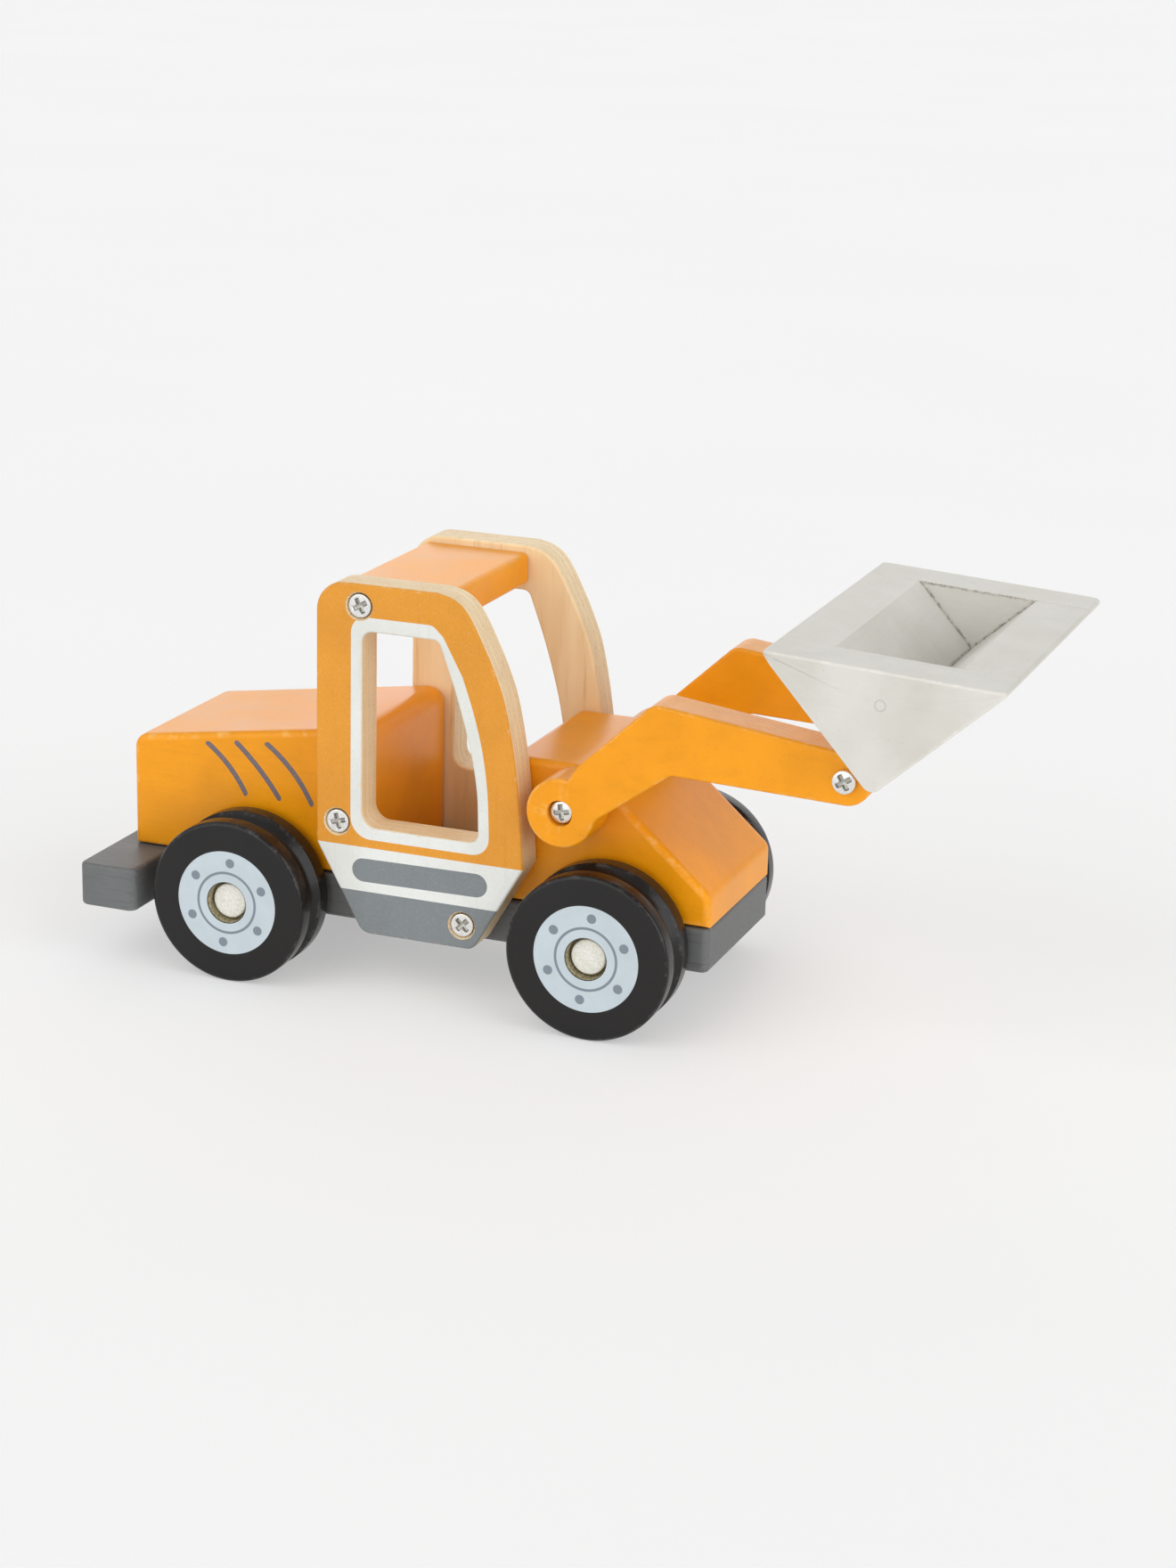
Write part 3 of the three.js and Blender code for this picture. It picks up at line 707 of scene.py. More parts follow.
def screw(head, shank, length, pan, turn, sides=96):
    """Screw along the third axis with its crown at 0: a domed head cut by a cross slot, a
    cone or a flat underside, then a shank whose radius rises in a spiral thread."""
    angle = np.linspace(0, 2 * math.pi, sides, endpoint=False)
    r = np.linspace(0, head - 0.25, 34)
    dome = (0.5 if pan else 0.12) * (r / head) ** 2
    rim_t = np.linspace(0, math.pi / 2, 5)[1:]
    rim_r, rim_h = head - 0.25 + 0.25 * np.sin(rim_t), -dome[-1] - 0.25 * (1 - np.cos(rim_t))
    under = 2.2 if pan else 3.2
    neck_r = [head, shank + 0.15, shank - 0.25] if pan else [head, shank - 0.25]
    neck_h = [-under + 0.2, -under, -under - 0.4] if pan else [rim_h[-1] - 0.35, -under]
    thread_h = np.arange(-under - 0.6, -length + 4.2, -THREAD_PITCH / 8)
    tip_h = np.linspace(-length + 4.0, -length, 14)
    rows_r = np.concatenate([r, rim_r, neck_r, np.full(len(thread_h), shank - 0.25),
                             (shank - 0.25) * np.clip((tip_h + length) / 4.0, 0, 1) ** 0.8])
    rows_h = np.concatenate([-dome, rim_h, neck_h, thread_h, tip_h])
    on_thread = np.concatenate([np.zeros(len(r) + len(rim_r) + len(neck_r)), np.ones(len(thread_h)),
                                np.clip((tip_h + length) / 4.0, 0, 1) * 0.9])
    phase = (rows_h[:, None] / THREAD_PITCH + angle / (2 * math.pi)) % 1
    crest = 0.5 * np.clip(1 - np.abs(phase - 0.5) / 0.24, 0, 1)
    radius = rows_r[:, None] + on_thread[:, None] * crest
    a, b = radius * np.cos(angle), radius * np.sin(angle)
    cut = cross_slot(a, b, 2.15, 1.2, 1.5)
    cut[len(r):] = 0
    height = rows_h[:, None] - cut
    # The slot depth is passed on as wear, so that the steel can darken as painted shade in the
    # slot.
    wear = np.clip(cut, 0, 1)
    turned_a = a * math.cos(turn) - b * math.sin(turn)
    turned_b = a * math.sin(turn) + b * math.cos(turn)
    points = np.stack([turned_a, turned_b, height], 2).reshape(-1, 3)
    return points, grid_faces(len(rows_r), sides), wear.ravel(), 0


def place_screw(name, node, shape, at, side, crown, body):
    """Stands a screw at (x, z) with its crown at |y| = crown, facing out of one side."""
    points, faces, wear, number = shape
    x, z = at
    points = np.column_stack([x + points[:, 0], side * (crown + points[:, 2]), z + points[:, 1]])
    make_piece(name, [(points, faces, wear, number)], [ZINC], body, [node])


def zinc_steel():
    """Bright plated steel: faint turning rings, handling marks, and painted shade that darkens it
    down into the cross slot.
    """
    material, tree, shader, place = new_material("zinc_plated_steel")
    mark = noise(tree, place, 2400, 4, 0.7)
    fine = noise(tree, vector_of(tree, "MULTIPLY", place, (1, 0.2, 3)), 5200, 2)
    deep = attribute(tree, "edge_wear_highlight_and_slot_shade")
    colour = blend(tree, ramp(tree, mark, 0.4, 0.7), (0.86, 0.855, 0.84, 1), (0.66, 0.65, 0.63, 1))
    # Painted shade: the deeper a point lies in the cross slot, the darker the steel.
    colour = blend(tree, ramp(tree, deep, 0.2, 0.95, 0, 0.7), colour, (0.3, 0.29, 0.24, 1))
    dress(tree, shader, colour, ramp(tree, mark, 0.3, 0.7, 0.2, 0.36), fine, 0.02)
    shader.inputs["Metallic"].default_value = 1.0
    return material


ZINC = zinc_steel()
SCREW_TURNS = {"roof": 0.5, "hood": 0.25, "plank": 0.8}
for word, side in (("right", -1), ("left", 1)):
    for spot, at in CAB_SCREWS.items():
        shape = screw(SCREW["head"], SCREW["shank"], SCREW["length"], False, SCREW_TURNS[spot])
        place_screw(f"cab_screw_{spot}_{word}_steel", f"cab_screw_{spot}_{word}", shape, at, side,
                    CAB_INNER + CAB_PLY - 0.2, "chassis")


# Axles
# Two plain birch dowels, sawn to length, their ends lightly chamfered. They
# turn in the plank and are glued into the wheels.
AXLE = {"r": 5.0, "half": 44.5}
WHEEL_R, WHEELBASE = 23.5, 108.0


def turned(profile, sides, x, side=1):
    """Turned shape: a profile of (radius, y) spun round the wheel axis at x."""
    profile = np.array(profile, float)
    angle = np.linspace(0, 2 * math.pi, sides, endpoint=False)
    r, y = profile[:, :1], profile[:, 1:]
    points = np.stack([x + r * np.cos(angle), side * y + 0 * angle, WHEEL_R + r * np.sin(angle)], 2)
    return points.reshape(-1, 3), grid_faces(len(profile), sides)


def axle_profile():
    """Half profile of the dowel: flat sawn ends, dished a little, with rounded chamfers."""
    t = np.linspace(0, math.pi / 2, 5)
    end_r = np.concatenate([np.linspace(0, AXLE["r"] - 0.6, 12), AXLE["r"] - 0.5 + 0.5 * np.sin(t)])
    end_y = np.concatenate([np.full(12, AXLE["half"]), AXLE["half"] - 0.5 * (1 - np.cos(t))])
    r, y = np.concatenate([end_r, end_r[::-1]]), np.concatenate([end_y, -end_y[::-1]])
    return np.column_stack([r, y])


def dowel_wood():
    """Pale dowel: end grain in faint rings and pores on the sawn ends, long grain between."""
    material, tree, shader, place = new_material("pale_dowel")
    long = noise(tree, vector_of(tree, "MULTIPLY", place, (1, 0.05, 1)), 1300, 4)
    saw = noise(tree, vector_of(tree, "MULTIPLY", place, (0.25, 1, 1)), 1400, 4, 0.7)
    pores = noise(tree, place, 3200, 2, 0.8)
    colour = blend(tree, ramp(tree, long, 0.35, 0.7), srgb(240, 240, 234), srgb(222, 220, 206))
    colour = blend(tree, ramp(tree, saw, 0.5, 0.72, 0, 0.4), colour, srgb(206, 202, 182))
    colour = blend(tree, ramp(tree, pores, 0.62, 0.74, 0, 0.35), colour, srgb(180, 172, 146))
    height = plus(tree, saw, pores)
    dress(tree, shader, colour, ramp(tree, saw, 0.3, 0.7, 0.5, 0.68), height, 0.12)
    return material


DOWEL = dowel_wood()
for name, x in (("rear", 0.0), ("front", WHEELBASE)):
    points, faces = turned(axle_profile(), 96, x)
    make_piece(f"axle_{name}_dowel", [(points, faces, np.zeros(len(points)), 0)], [DOWEL],
               f"{name}_wheels", [f"axle_{name}"])


# Wheels
# Turned from solid wood and dipped black: two treads with a hollow groove
# between them. The outer face has a printed pale disc with six dots and a ring.
TREAD = {"width": 17.5, "face": 46.5, "rim": 5.0, "groove": 7.0, "hollow": 2.4}
TREAD_EDGES, WHEEL_SIDES = (29, 34.5, 41.5, 46.5), 144
HUB = {"r": 5.85, "deep": 4.5}
DISC = {"r": 15.1, "ring": 8.8, "ring_width": 0.75, "dots_at": 11.82, "dot": 1.35}
TYRE_BLACK, DISC_PALE, DISC_GREY = srgb(25, 23, 23), srgb(196, 208, 214), srgb(126, 136, 146)
DOT_TURN = {"rear": 0.10, "front": 0.12}


def wheel_profile():
    """Closed profile of (radius, y): bore, inner face, inner tread, a groove whose depth is
    half a sine wave, outer tread, face and hub hole. Its corners are rounded."""
    inner = TREAD["face"] - TREAD["width"]
    groove = inner + TREAD["width"] - TREAD["rim"] - TREAD["groove"]
    t = np.linspace(0, 1, 19)[1:-1]
    hollow = [(WHEEL_R - TREAD["hollow"] * math.sin(math.pi * s), groove + TREAD["groove"] * s, 0)
              for s in t.tolist()]
    bore = AXLE["r"] + 0.05
    floor = TREAD["face"] - HUB["deep"]
    return rounded([
        (bore, inner, 0.3), (WHEEL_R, inner, 1.3), (WHEEL_R, groove, 0.4), *hollow,
        (WHEEL_R, groove + TREAD["groove"], 0.4), (WHEEL_R, TREAD["face"], 1.2),
        (DISC["r"], TREAD["face"], 0), (HUB["r"], TREAD["face"], 0.35), (HUB["r"], floor, 0.3),
        (bore, floor, 0.2),
    ], 6)


def wheel(name, x, side, turn):
    """Spins the profile and gives each point its place on the wheel as the attribute spot."""
    line = wheel_profile()
    line = np.concatenate([line, line[:1]])
    points, faces = turned(line, WHEEL_SIDES, x, side)
    to_edge = np.abs(line[:, 1:] - TREAD_EDGES).min(1)
    edge = np.clip(1 - np.abs(line[:, 0] - WHEEL_R + 0.35) / 0.6, 0, 1)
    edge = np.repeat(edge * np.clip(1 - to_edge / 1.3, 0, 1), WHEEL_SIDES)
    middle = points[faces].mean(1)
    far = np.hypot(middle[:, 0] - x, middle[:, 2] - WHEEL_R)
    out = np.abs(middle[:, 1])
    number = np.where((far < HUB["r"] + 0.06) & (out > TREAD["face"] - HUB["deep"] - 0.1), 2,
                      np.where(out > TREAD["face"] - 0.01, 1, 0))
    dx, dz = points[:, 0] - x, points[:, 2] - WHEEL_R
    spot = np.column_stack([dx * math.cos(turn) - dz * math.sin(turn), points[:, 1],
                            dx * math.sin(turn) + dz * math.cos(turn)]) * 0.001
    make_piece(f"wheel_{name}_turned", [(points, faces, edge, number)], WHEEL_FINISHES,
               name.split("_")[0] + "_wheels", [f"wheel_{name}"], spot)


def tyre_finish(name, disc):
    """Dipped black lacquer rubbed pale at its edges, with or without the printed disc."""
    material, tree, shader, place = new_material(name)
    rubbed = srgb(104, 101, 99)
    colour, rough, height = paint(tree, place, TYRE_BLACK, rubbed, (1, 0.3, 1), 0.25, 0.2)
    if disc:
        spot = attribute(tree, "spot", "Vector")
        parts = add(tree, "ShaderNodeSeparateXYZ", {0: spot}).outputs
        far = length_of(tree, parts[0], parts[2])
        angle = math_of(tree, "ARCTAN2", parts[0], parts[2])
        angle = math_of(tree, "FLOORED_MODULO", plus(tree, angle, math.pi / 6), math.pi / 3)
        angle = minus(tree, angle, math.pi / 6)
        u = minus(tree, times(tree, far, math_of(tree, "COSINE", angle)), DISC["dots_at"] * 0.001)
        v = times(tree, far, math_of(tree, "SINE", angle))
        away = length_of(tree, u, v)
        soft = 0.00006
        dot = ramp(tree, away, DISC["dot"] * 0.001 - soft, DISC["dot"] * 0.001 + soft, 1, 0)
        band = size_of(tree, minus(tree, far, DISC["ring"] * 0.001))
        half = DISC["ring_width"] * 0.0005
        line = ramp(tree, band, half - soft, half + soft, 1, 0)
        pale = ramp(tree, far, DISC["r"] * 0.001 - soft, DISC["r"] * 0.001 + soft, 1, 0)
        speck = ramp(tree, noise(tree, place, 2400, 3, 0.8), 0.58, 0.75, 0, 0.22)
        cloud = ramp(tree, noise(tree, place, 90, 3), 0.3, 0.7)
        ink = blend(tree, cloud, DISC_PALE, tuple(0.93 * c for c in DISC_PALE[:3]) + (1,))
        ink = blend(tree, math_of(tree, "MAXIMUM", dot, line), ink, DISC_GREY)
        ink = blend(tree, speck, ink, srgb(110, 116, 122))
        colour = blend(tree, pale, colour, ink)
        rough = plus(tree, rough, times(tree, pale, 0.12))
    dress(tree, shader, colour, rough, height, 0.06)
    gloss_coat(shader, 0.3, 0.1, 0.15)
    return material


def hub_wood():
    """Raw drilled wood, torn and spotted with black that ran into the hole."""
    material, tree, shader, place = new_material("raw_hub_wood")
    torn = noise(tree, vector_of(tree, "MULTIPLY", place, (1, 0.4, 1)), 1700, 5, 0.8)
    colour = blend(tree, ramp(tree, torn, 0.35, 0.65), srgb(206, 196, 160), srgb(138, 124, 84))
    spots = ramp(tree, noise(tree, place, 2900, 3, 0.8), 0.54, 0.64, 0, 0.85)
    colour = blend(tree, spots, colour, srgb(56, 48, 36))
    dress(tree, shader, colour, ramp(tree, torn, 0.3, 0.7, 0.6, 0.8), torn, 0.4)
    return material


WHEEL_FINISHES = [tyre_finish("black_wheel_lacquer", False),
                  tyre_finish("printed_wheel_face", True), hub_wood()]
for place_word, x in (("rear", 0.0), ("front", WHEELBASE)):
    for word, side in (("right", -1), ("left", 1)):
        wheel(f"{place_word}_{word}", x, side, DOT_TURN[place_word])


# Lift arms
# Two cranked arms sawn from thick plywood and painted orange all over, so that
# the plies show only as faint lines along their edges. Each turns on a screw.
ARM = {"inner": 27.0, "ply": 13.3, "soft": 0.85}
LIFT_PIVOT, TILT_PIVOT = (97.0, 61.3), (176.0, 81.2)
BULB_R, TIP_R = 9.7, 7.0
ARM_RECESS = [(3.75, 0), (3.62, -0.14), (3.55, -3.3), (0, -3.4)]


def arm_line():
    """Outline of an arm: most of a circle round the lift pivot, half a circle round the
    tilt pivot, and straight runs between them with rounded cranks."""
    def arc(centre, radius, start, end, count):
        a = np.radians(np.linspace(start, end, count))
        return [(centre[0] + radius * c, centre[1] + radius * s, 0)
                for c, s in zip(np.cos(a).tolist(), np.sin(a).tolist())]
    return rounded([
        *arc(LIFT_PIVOT, BULB_R, 78, 350, 60), (108, 61.2, 4), (128, 75.9, 3),
        *arc(TILT_PIVOT, TIP_R, -91, 82, 36), (122.7, 94.9, 5), (101.8, 75.1, 5),
    ], 10)


def lift_arm(side):
    """The arm board with a drilled recess in its outer face for the lift screw's head."""
    line = arm_line()
    rings = edge_rings(ARM["soft"], 0, ARM["ply"])
    face, hole = inset(line, rings[0][0]), ring(LIFT_PIVOT, ARM_RECESS[0][0])
    return on_side([
        (*wall(line, rings), 0), level(0, *flat_face(face)[:2]),
        level(ARM["ply"], *flat_face(face, [hole])[:2]),
        drilled(LIFT_PIVOT, ARM_RECESS, ARM["ply"], [0.9, 0.9, 0.3, 0.0], 0),
    ], side, ARM["inner"])


def arm_paint():
    """Orange paint that sinks a little at each glue line on the sawn edges."""
    material, tree, shader, place = new_material("orange_arm_paint")
    colour, rough, height = paint(tree, place, ORANGE, ORANGE_RUBBED, (0.1, 1, 0.25), 0.36, 0.12)
    layer = ply_layer(tree, place, ARM["inner"], ARM["ply"], 9)
    facing = add(tree, "ShaderNodeTexCoord").outputs["Normal"]
    sideways = size_of(tree, part_of(tree, facing, 1))
    on_edge = ramp(tree, sideways, 0.3, 0.75, 1, 0)
    wander = times(tree, minus(tree, noise(tree, place, 150, 2), 0.5), 0.3)
    part = math_of(tree, "FRACT", plus(tree, layer, wander))
    glue = ramp(tree, size_of(tree, minus(tree, part, 0.5)), 0.3, 0.5)
    glue = times(tree, glue, on_edge)
    patchy = ramp(tree, noise(tree, place, 300, 3), 0.35, 0.65, 0.3, 1.0)
    glue = times(tree, glue, patchy)
    darker = blend(tree, 1.0, colour, (0.72, 0.6, 0.5, 1), "MULTIPLY")
    colour = blend(tree, times(tree, glue, 0.75), colour, darker)
    height = minus(tree, height, times(tree, glue, 1.1))
    dress(tree, shader, colour, rough, height, 0.1)
    gloss_coat(shader, 0.3, 0.08, 0.22)
    return material


ARM_PAINT = arm_paint()
for word, side in (("right", -1), ("left", 1)):
    make_piece(f"arm_{word}_ply", lift_arm(side), [ARM_PAINT],
               "lift_arms", [f"arm_{word}"])


# Lift screws
# Two pan-head screws, one through each arm into the front hood. Their heads
# lie sunk in the arms' recesses, and the arms swing on their plain necks.
PIVOT_SCREW = {"head": 3.15, "shank": 1.9, "lift_length": 27.0, "tilt_length": 30.0}

for word, side in (("right", -1), ("left", 1)):
    shape = screw(PIVOT_SCREW["head"], PIVOT_SCREW["shank"], PIVOT_SCREW["lift_length"], True, 0.15)
    place_screw(f"lift_screw_{word}_steel", f"lift_screw_{word}", shape, LIFT_PIVOT, side,
                ARM["inner"] + ARM["ply"] - 1, "chassis")


# Bucket boards
# The floor board and the back board of the bucket: solid wood glued edge to
# edge in a V and painted matt light grey, with filler rubbed into the joints.
BUCKET = {"corner": (186.7, 82.4), "half": 55.6, "board": 11.6, "cheek": 15.2}
FLOOR_LEG, BACK_LEG, FLOOR_ANGLE = 46.5, 47.2, math.radians(42)
# The paler grey serves both for paint rubbed through and for the painted highlight along the
# bucket's edges.
BUCKET_GREY, BUCKET_RUBBED_AND_HIGHLIGHT = srgb(214, 212, 205), srgb(238, 236, 228)
JOINT_Y = BUCKET["half"] - BUCKET["cheek"] - 0.15
CHEEK_FACE_Y = JOINT_Y + 0.35
PLUG = {"x": 188.2, "z": 106.6, "r": 1.4}


def from_bucket(corners):
    """Corners (u, v, radius), u along the floor board and v up the back board from their
    shared outer corner, swung up by the floor's angle."""
    c, s = math.cos(FLOOR_ANGLE), math.sin(FLOOR_ANGLE)
    x0, z0 = BUCKET["corner"]
    return [(x0 + u * c - v * s, z0 + u * s + v * c, r) for u, v, r in corners]


def rim_normal():
    """Direction in which the rim faces: square to the line between the two boards' tips."""
    (ax, az, _), (bx, bz, _) = from_bucket([(FLOOR_LEG, 0, 0), (0, BACK_LEG, 0)])
    return unit(np.array([[bz - az, 0, ax - bx]]))[0]


def rim_height():
    """How far the rim lies from the V's inner corner: its own distance from the outer
    corner, less that of the inner corner."""
    size = math.hypot(FLOOR_LEG, BACK_LEG)
    board = BUCKET["board"]
    return (FLOOR_LEG * BACK_LEG - board * (FLOOR_LEG + BACK_LEG)) / size


def bucket_paint(name, grain):
    """Matt grey paint: soft streaks, edges lightened all along, partly paint worn thin and
    partly a painted highlight, crumbly brown filler along both cheek joints and the bottom
    of the V, and a faint filled plug on each cheek."""
    material, tree, shader, place = new_material(name)
    colour, rough, height = paint(tree, place, BUCKET_GREY, BUCKET_RUBBED_AND_HIGHLIGHT, grain, 0.5, 0.05)
    # Painted highlight: every edge is lightened along its whole length, on top of the paint worn
    # thin there.
    rubbed_and_edge_highlight = times(tree, attribute(tree, "edge_wear_highlight_and_slot_shade"), 0.4)
    colour = blend(tree, rubbed_and_edge_highlight, colour, BUCKET_RUBBED_AND_HIGHLIGHT)
    parts = add(tree, "ShaderNodeSeparateXYZ", {0: place}).outputs
    crumbs = noise(tree, place, 2100, 4, 0.8)
    wander = times(tree, minus(tree, noise(tree, place, 420, 3), 0.5), 0.0007)
    facing = add(tree, "ShaderNodeTexCoord").outputs["Normal"]
    sideways = size_of(tree, part_of(tree, facing, 1))
    across_y = size_of(tree, parts[1])
    off = minus(tree, across_y, JOINT_Y * 0.001)
    near = ramp(tree, size_of(tree, plus(tree, off, wander)), 0.0001, 0.00075, 1, 0)
    near = times(tree, near, ramp(tree, sideways, 0.5, 0.7, 1, 0))
    (vx, vz, _), = from_bucket([(BUCKET["board"], BUCKET["board"], 0)])
    off = vector_of(tree, "SUBTRACT", place, np.array([vx + REAR_AXLE, 0, vz]) * 0.001)
    c, s = math.cos(FLOOR_ANGLE), math.sin(FLOOR_ANGLE)
    u = vector_of(tree, "DOT_PRODUCT", off, (c, 0, s), out=1)
    v = vector_of(tree, "DOT_PRODUCT", off, (-s, 0, c), out=1)
    in_pocket = ramp(tree, math_of(tree, "MINIMUM", u, v), -0.0008, 0.0)
    left_line = ramp(tree, parts[1], -0.01, 0.01, 0.08, 0.4)
    near = times(tree, near, math_of(tree, "MAXIMUM", in_pocket, left_line))
    mouth = vector_of(tree, "DOT_PRODUCT", off, rim_normal(), out=1)
    mouth = minus(tree, rim_height() * 0.001, mouth)
    mouth = ramp(tree, plus(tree, mouth, wander), 0.0002, 0.001, 1, 0)
    between = math_of(tree, "LESS_THAN", across_y, CHEEK_FACE_Y * 0.001)
    on_face = times(tree, between, ramp(tree, sideways, 0.5, 0.7))
    mouth = times(tree, mouth, on_face)
    near = math_of(tree, "MAXIMUM", near, mouth)
    u, v = size_of(tree, u), size_of(tree, v)
    along_v = plus(tree, math_of(tree, "MINIMUM", u, v), wander)
    along_v = times(tree, ramp(tree, along_v, 0.0002, 0.0009, 1, 0), on_face)
    bottom = plus(tree, math_of(tree, "MAXIMUM", u, v), wander)
    bottom = times(tree, ramp(tree, bottom, 0.0003, 0.0011, 1, 0), between)
    joint = math_of(tree, "MAXIMUM", math_of(tree, "MAXIMUM", near, bottom), along_v)
    joint = times(tree, joint, ramp(tree, crumbs, 0.44, 0.56))
    broken = ramp(tree, noise(tree, place, 650, 3, 0.7), 0.42, 0.58, 0.2, 1.0)
    joint = times(tree, joint, broken)
    colour = blend(tree, times(tree, joint, 0.8), colour, srgb(146, 127, 103))
    px = minus(tree, parts[0], (PLUG["x"] + REAR_AXLE) * 0.001)
    pz = minus(tree, parts[2], PLUG["z"] * 0.001)
    plug = minus(tree, length_of(tree, px, pz), PLUG["r"] * 0.001)
    plug = ramp(tree, size_of(tree, plug), 0.0001, 0.0003, 1, 0)
    plug = times(tree, plug, ramp(tree, across_y, 0.05, 0.054))
    colour = blend(tree, times(tree, plug, 0.3), colour, srgb(150, 146, 138))
    height = minus(tree, height, plus(tree, joint, times(tree, plug, 0.5)))
    dress(tree, shader, colour, rough, height, 0.12)
    return material


def bucket_board(corners):
    """One board of the V, as long as the room between the cheeks."""
    end = BUCKET["half"] - BUCKET["cheek"] + 0.05
    return upright(board(rounded(from_bucket(corners)), -end, end, 0.1))


BOARD = BUCKET["board"]
FLOOR_INNER, BACK_INNER = FLOOR_LEG * (1 - BOARD / BACK_LEG), BACK_LEG * (1 - BOARD / FLOOR_LEG)
LONG_PAINT = bucket_paint("light_grey_board_paint", (1, 0.06, 1))
make_piece("bucket_floor_wood",
           bucket_board([(0, 0, 3), (FLOOR_LEG, 0, 1), (FLOOR_INNER, BOARD, 0), (0, BOARD, 0)]),
           [LONG_PAINT], "bucket", ["bucket_floor"])
make_piece("bucket_back_wood",
           bucket_board([(0, BOARD - 0.05, 0), (BOARD, BOARD - 0.05, 0),
                         (BOARD, BACK_INNER, 0), (0, BACK_LEG, 1)]),
           [LONG_PAINT], "bucket", ["bucket_back"])


# Bucket cheeks
# Thick triangular end blocks glued over the ends of the two boards. Their
# outer edges are rounded over, and their corners are rounded in plan.
CHEEK_ROUND = 4.5


def cheek_draw_in(x, z):
    """How far the outer face draws in: along the rim, within CHEEK_ROUND of a plan corner,
    the sagitta of a circle of that radius."""
    rim = math.hypot(FLOOR_LEG, BACK_LEG)
    (mx, mz, _), = from_bucket([(FLOOR_LEG / 2, BACK_LEG / 2, 0)])
    way = math.atan2(BACK_LEG, FLOOR_LEG) - FLOOR_ANGLE
    s = (x - mx) * math.cos(way) - (z - mz) * math.sin(way)
    into = np.clip(np.abs(s) - (rim / 2 - CHEEK_ROUND), 0, 0.985 * CHEEK_ROUND)
    return CHEEK_ROUND - np.sqrt(CHEEK_ROUND**2 - into**2)


def bucket_cheek(side):
    """Triangle board whose outer face is a grid of rings that shrink to its middle, all
    drawn in by the plan corners' circle."""
    line = fine(rounded(from_bucket([(0, 0, 3), (FLOOR_LEG, 0, 1), (0, BACK_LEG, 1)])), 1.2)
    inner, outer = (edge_rings(soft, 0, BUCKET["cheek"]) for soft in (0.1, 0.8))
    inset_by, height, wear = (np.concatenate([a[:len(a) // 2], b[len(b) // 2:]])
                              for a, b in zip(inner, outer))
    rows = [inset(line, i) for i in inset_by]
    middle = line.mean(0)
    shrink = np.linspace(1, 0.3, 19)[1:]
    rows += [middle + (rows[-1] - middle) * s for s in shrink]
    height = np.concatenate([height, np.full(len(shrink), BUCKET["cheek"])])
    wear = np.concatenate([wear, np.zeros(len(shrink))])
    points = np.column_stack([np.concatenate(rows), np.repeat(height, len(line))])
    pull = np.clip(points[:, 2] / 2.0 - 2.5, 0, 1)
    points[:, 2] -= cheek_draw_in(points[:, 0], points[:, 1]) * pull
    patches = [(points, grid_faces(len(rows), len(line)), np.repeat(wear, len(line)), 0)]
    patches += [level(h, *flat_face(row)[:2])
                for row, h in ((rows[0], 0), (rows[-1], BUCKET["cheek"]))]
    return on_side(patches, side, BUCKET["half"] - BUCKET["cheek"])


CHEEK_PAINT = bucket_paint("light_grey_cheek_paint", (0.09, 1, 1))
for word, side in (("right", -1), ("left", 1)):
    make_piece(f"bucket_cheek_{word}_wood", bucket_cheek(side), [CHEEK_PAINT],
               "bucket", [f"bucket_cheek_{word}"])


# Hinge block
# A square bar of wood glued behind the back board, between the arms. The two
# tilt screws run into its ends.
HINGE = {"half": 7.0, "round": 4.5}


def hinge_block():
    """Bar outline from the back board to 7 mm past the tilt pivot, long corners rounded."""
    c, s = math.cos(FLOOR_ANGLE), math.sin(FLOOR_ANGLE)
    dx, dz = TILT_PIVOT[0] - BUCKET["corner"][0], TILT_PIVOT[1] - BUCKET["corner"][1]
    u, v, h = dx * c + dz * s, dz * c - dx * s, HINGE["half"]
    line = rounded(from_bucket([(u - h, v - h, HINGE["round"]), (-0.3, v - h, 0),
                                (-0.3, v + h, 0), (u - h, v + h, HINGE["round"])]))
    return upright(board(line, -BODY_HALF, BODY_HALF, 0.4))


make_piece("bucket_hinge_wood", hinge_block(), [LONG_PAINT],
           "bucket", ["bucket_hinge_block"])


# Tilt screws
# Two pan-head screws that stand proud of the arms' outer faces and run into
# the hinge block, so that the bucket turns with them.
for word, side in (("right", -1), ("left", 1)):
    shape = screw(PIVOT_SCREW["head"], PIVOT_SCREW["shank"], PIVOT_SCREW["tilt_length"], True, 0.55)
    place_screw(f"tilt_screw_{word}_steel", f"tilt_screw_{word}", shape, TILT_PIVOT, side,
                ARM["inner"] + ARM["ply"] + 2.5, "bucket")


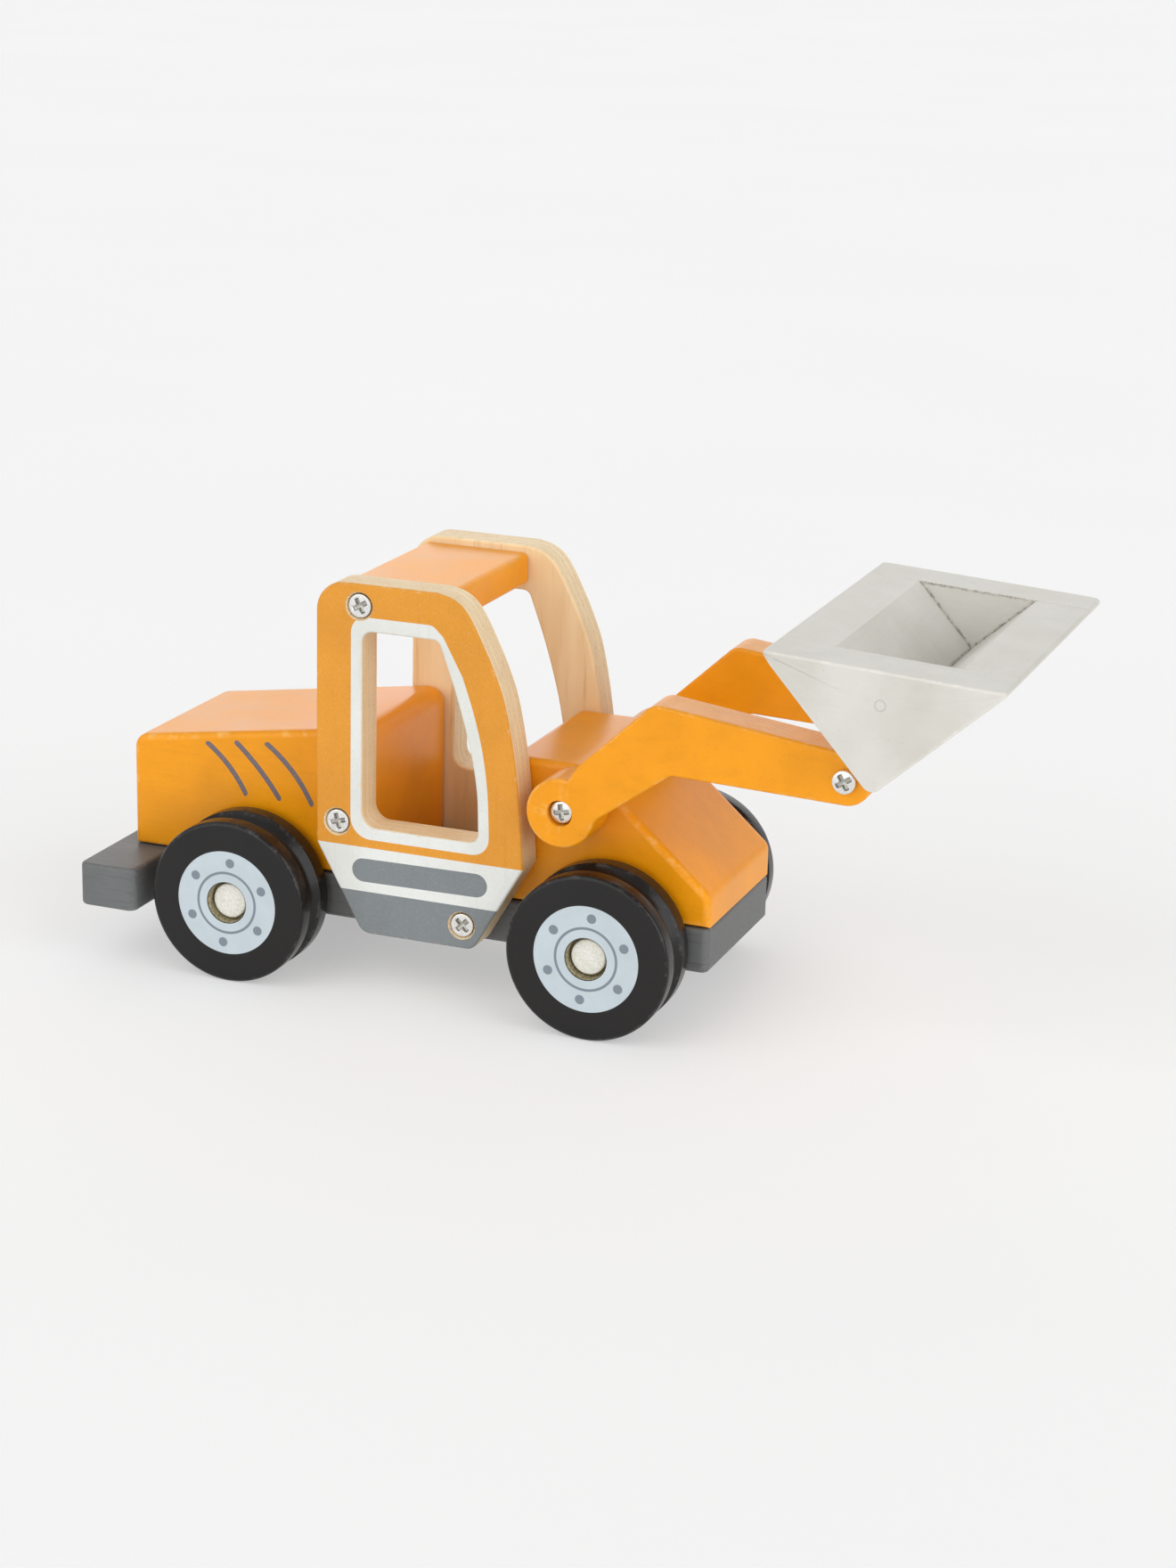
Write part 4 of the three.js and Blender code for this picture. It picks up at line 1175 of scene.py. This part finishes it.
# Studio
# A pale matt light table for a floor, a bright surround and three broad soft
# lights: equal ones from the camera's left and right and a weak one from above.
def studio_floor():
    """Square sheet, seen only from above so that the underside can be looked at."""
    mesh = bpy.data.meshes.new("studio_floor")
    mesh.from_pydata([(-30, -30, 0), (30, -30, 0), (30, 30, 0), (-30, 30, 0)], [], [(0, 1, 2, 3)])
    floor = bpy.data.objects.new("studio_floor", mesh)
    bpy.context.scene.collection.objects.link(floor)
    material, tree, shader, place = new_material("studio_floor")
    tint = ramp(tree, noise(tree, place, 3, 2), 0.3, 0.7)
    tint = blend(tree, tint, (0.59, 0.59, 0.59, 1), (0.6, 0.6, 0.6, 1))
    tree.links.new(tint, shader.inputs["Base Color"])
    shader.inputs["Roughness"].default_value = 1.0
    shader.inputs["Specular IOR Level"].default_value = 0.0
    shader.inputs["Emission Color"].default_value = (1, 1, 1, 1)
    shader.inputs["Emission Strength"].default_value = 0.385
    below = add(tree, "ShaderNodeNewGeometry").outputs["Backfacing"]
    clear = add(tree, "ShaderNodeBsdfTransparent").outputs[0]
    mixed = add(tree, "ShaderNodeMixShader", {0: below, 1: shader.outputs[0], 2: clear})
    output = next(n for n in tree.nodes if n.type == "OUTPUT_MATERIAL")
    tree.links.new(mixed.outputs[0], output.inputs[0])
    mesh.materials.append(material)


def soft_sun(name, toward, strength, spread):
    """Broad distant light that shines from the given direction."""
    light = bpy.data.lights.new(name, "SUN")
    light.energy, light.angle = strength, math.radians(spread)
    lamp = bpy.data.objects.new(name, light)
    lamp.rotation_mode = "QUATERNION"
    lamp.rotation_quaternion = Vector(toward).to_track_quat("Z", "Y")
    bpy.context.scene.collection.objects.link(lamp)


def bright_surround():
    """Even white all round, plus a brighter backdrop low down behind the toy that gives its
    top faces their sheen. Looked at straight, it is as pale as the floor."""
    world = bpy.data.worlds.new("bright_surround")
    world.use_nodes = True
    tree = world.node_tree
    toward = add(tree, "ShaderNodeTexCoord").outputs["Generated"]
    parts = add(tree, "ShaderNodeSeparateXYZ", {0: toward}).outputs
    low = times(tree, ramp(tree, parts[2], -0.02, 0.1), ramp(tree, parts[2], 0.45, 0.75, 1, 0))
    across = vector_of(tree, "DOT_PRODUCT", toward, (-0.35, 0.94, 0), out=1)
    behind = times(tree, low, ramp(tree, across, 0.62, 0.95))
    strength = plus(tree, times(tree, behind, 1.45), 0.43)
    plain = add(tree, "ShaderNodeLightPath").outputs["Is Camera Ray"]
    strength = plus(tree, times(tree, plain, 0.9), times(tree, minus(tree, 1.0, plain), strength))
    back = tree.nodes["Background"]
    back.inputs[0].default_value = (1, 1, 1, 1)
    tree.links.new(strength, back.inputs[1])
    bpy.context.scene.world = world


studio_floor()
bright_surround()
soft_sun("front_left_light", (-0.5, -1.0, 0.45), 1.38, 75)
soft_sun("right_light", (1.0, -0.35, 0.35), 1.4, 60)
soft_sun("top_light", (-0.35, 0.15, 1.0), 0.2, 80)
bpy.context.scene.view_settings.view_transform = "Standard"


# Camera
# A long lens from the toy's right, a little in front and above.
def aim(azimuth, elevation, roll):
    """Rotation whose back axis points from the toy to the camera, rolled about that axis."""
    back = np.array([math.sin(azimuth) * math.cos(elevation),
                     -math.cos(azimuth) * math.cos(elevation), math.sin(elevation)])
    right = np.array([math.cos(azimuth), math.sin(azimuth), 0])
    up = np.cross(back, right)
    r = math.cos(roll) * right + math.sin(roll) * up
    u = -math.sin(roll) * right + math.cos(roll) * up
    return Matrix(np.column_stack([r, u, back]).tolist())


lens = bpy.data.cameras.new("camera")
lens.lens, lens.sensor_width, lens.sensor_fit = 71.66, 36, "AUTO"
lens.clip_start, lens.clip_end = 0.01, 200
camera = bpy.data.objects.new("camera", lens)
camera.matrix_world = Matrix.Translation((0.298425, -0.784605, 0.31511)) @ aim(
    0.35999936, 0.29805121, 0.0264923).to_4x4()
bpy.context.scene.collection.objects.link(camera)
bpy.context.scene.camera = camera
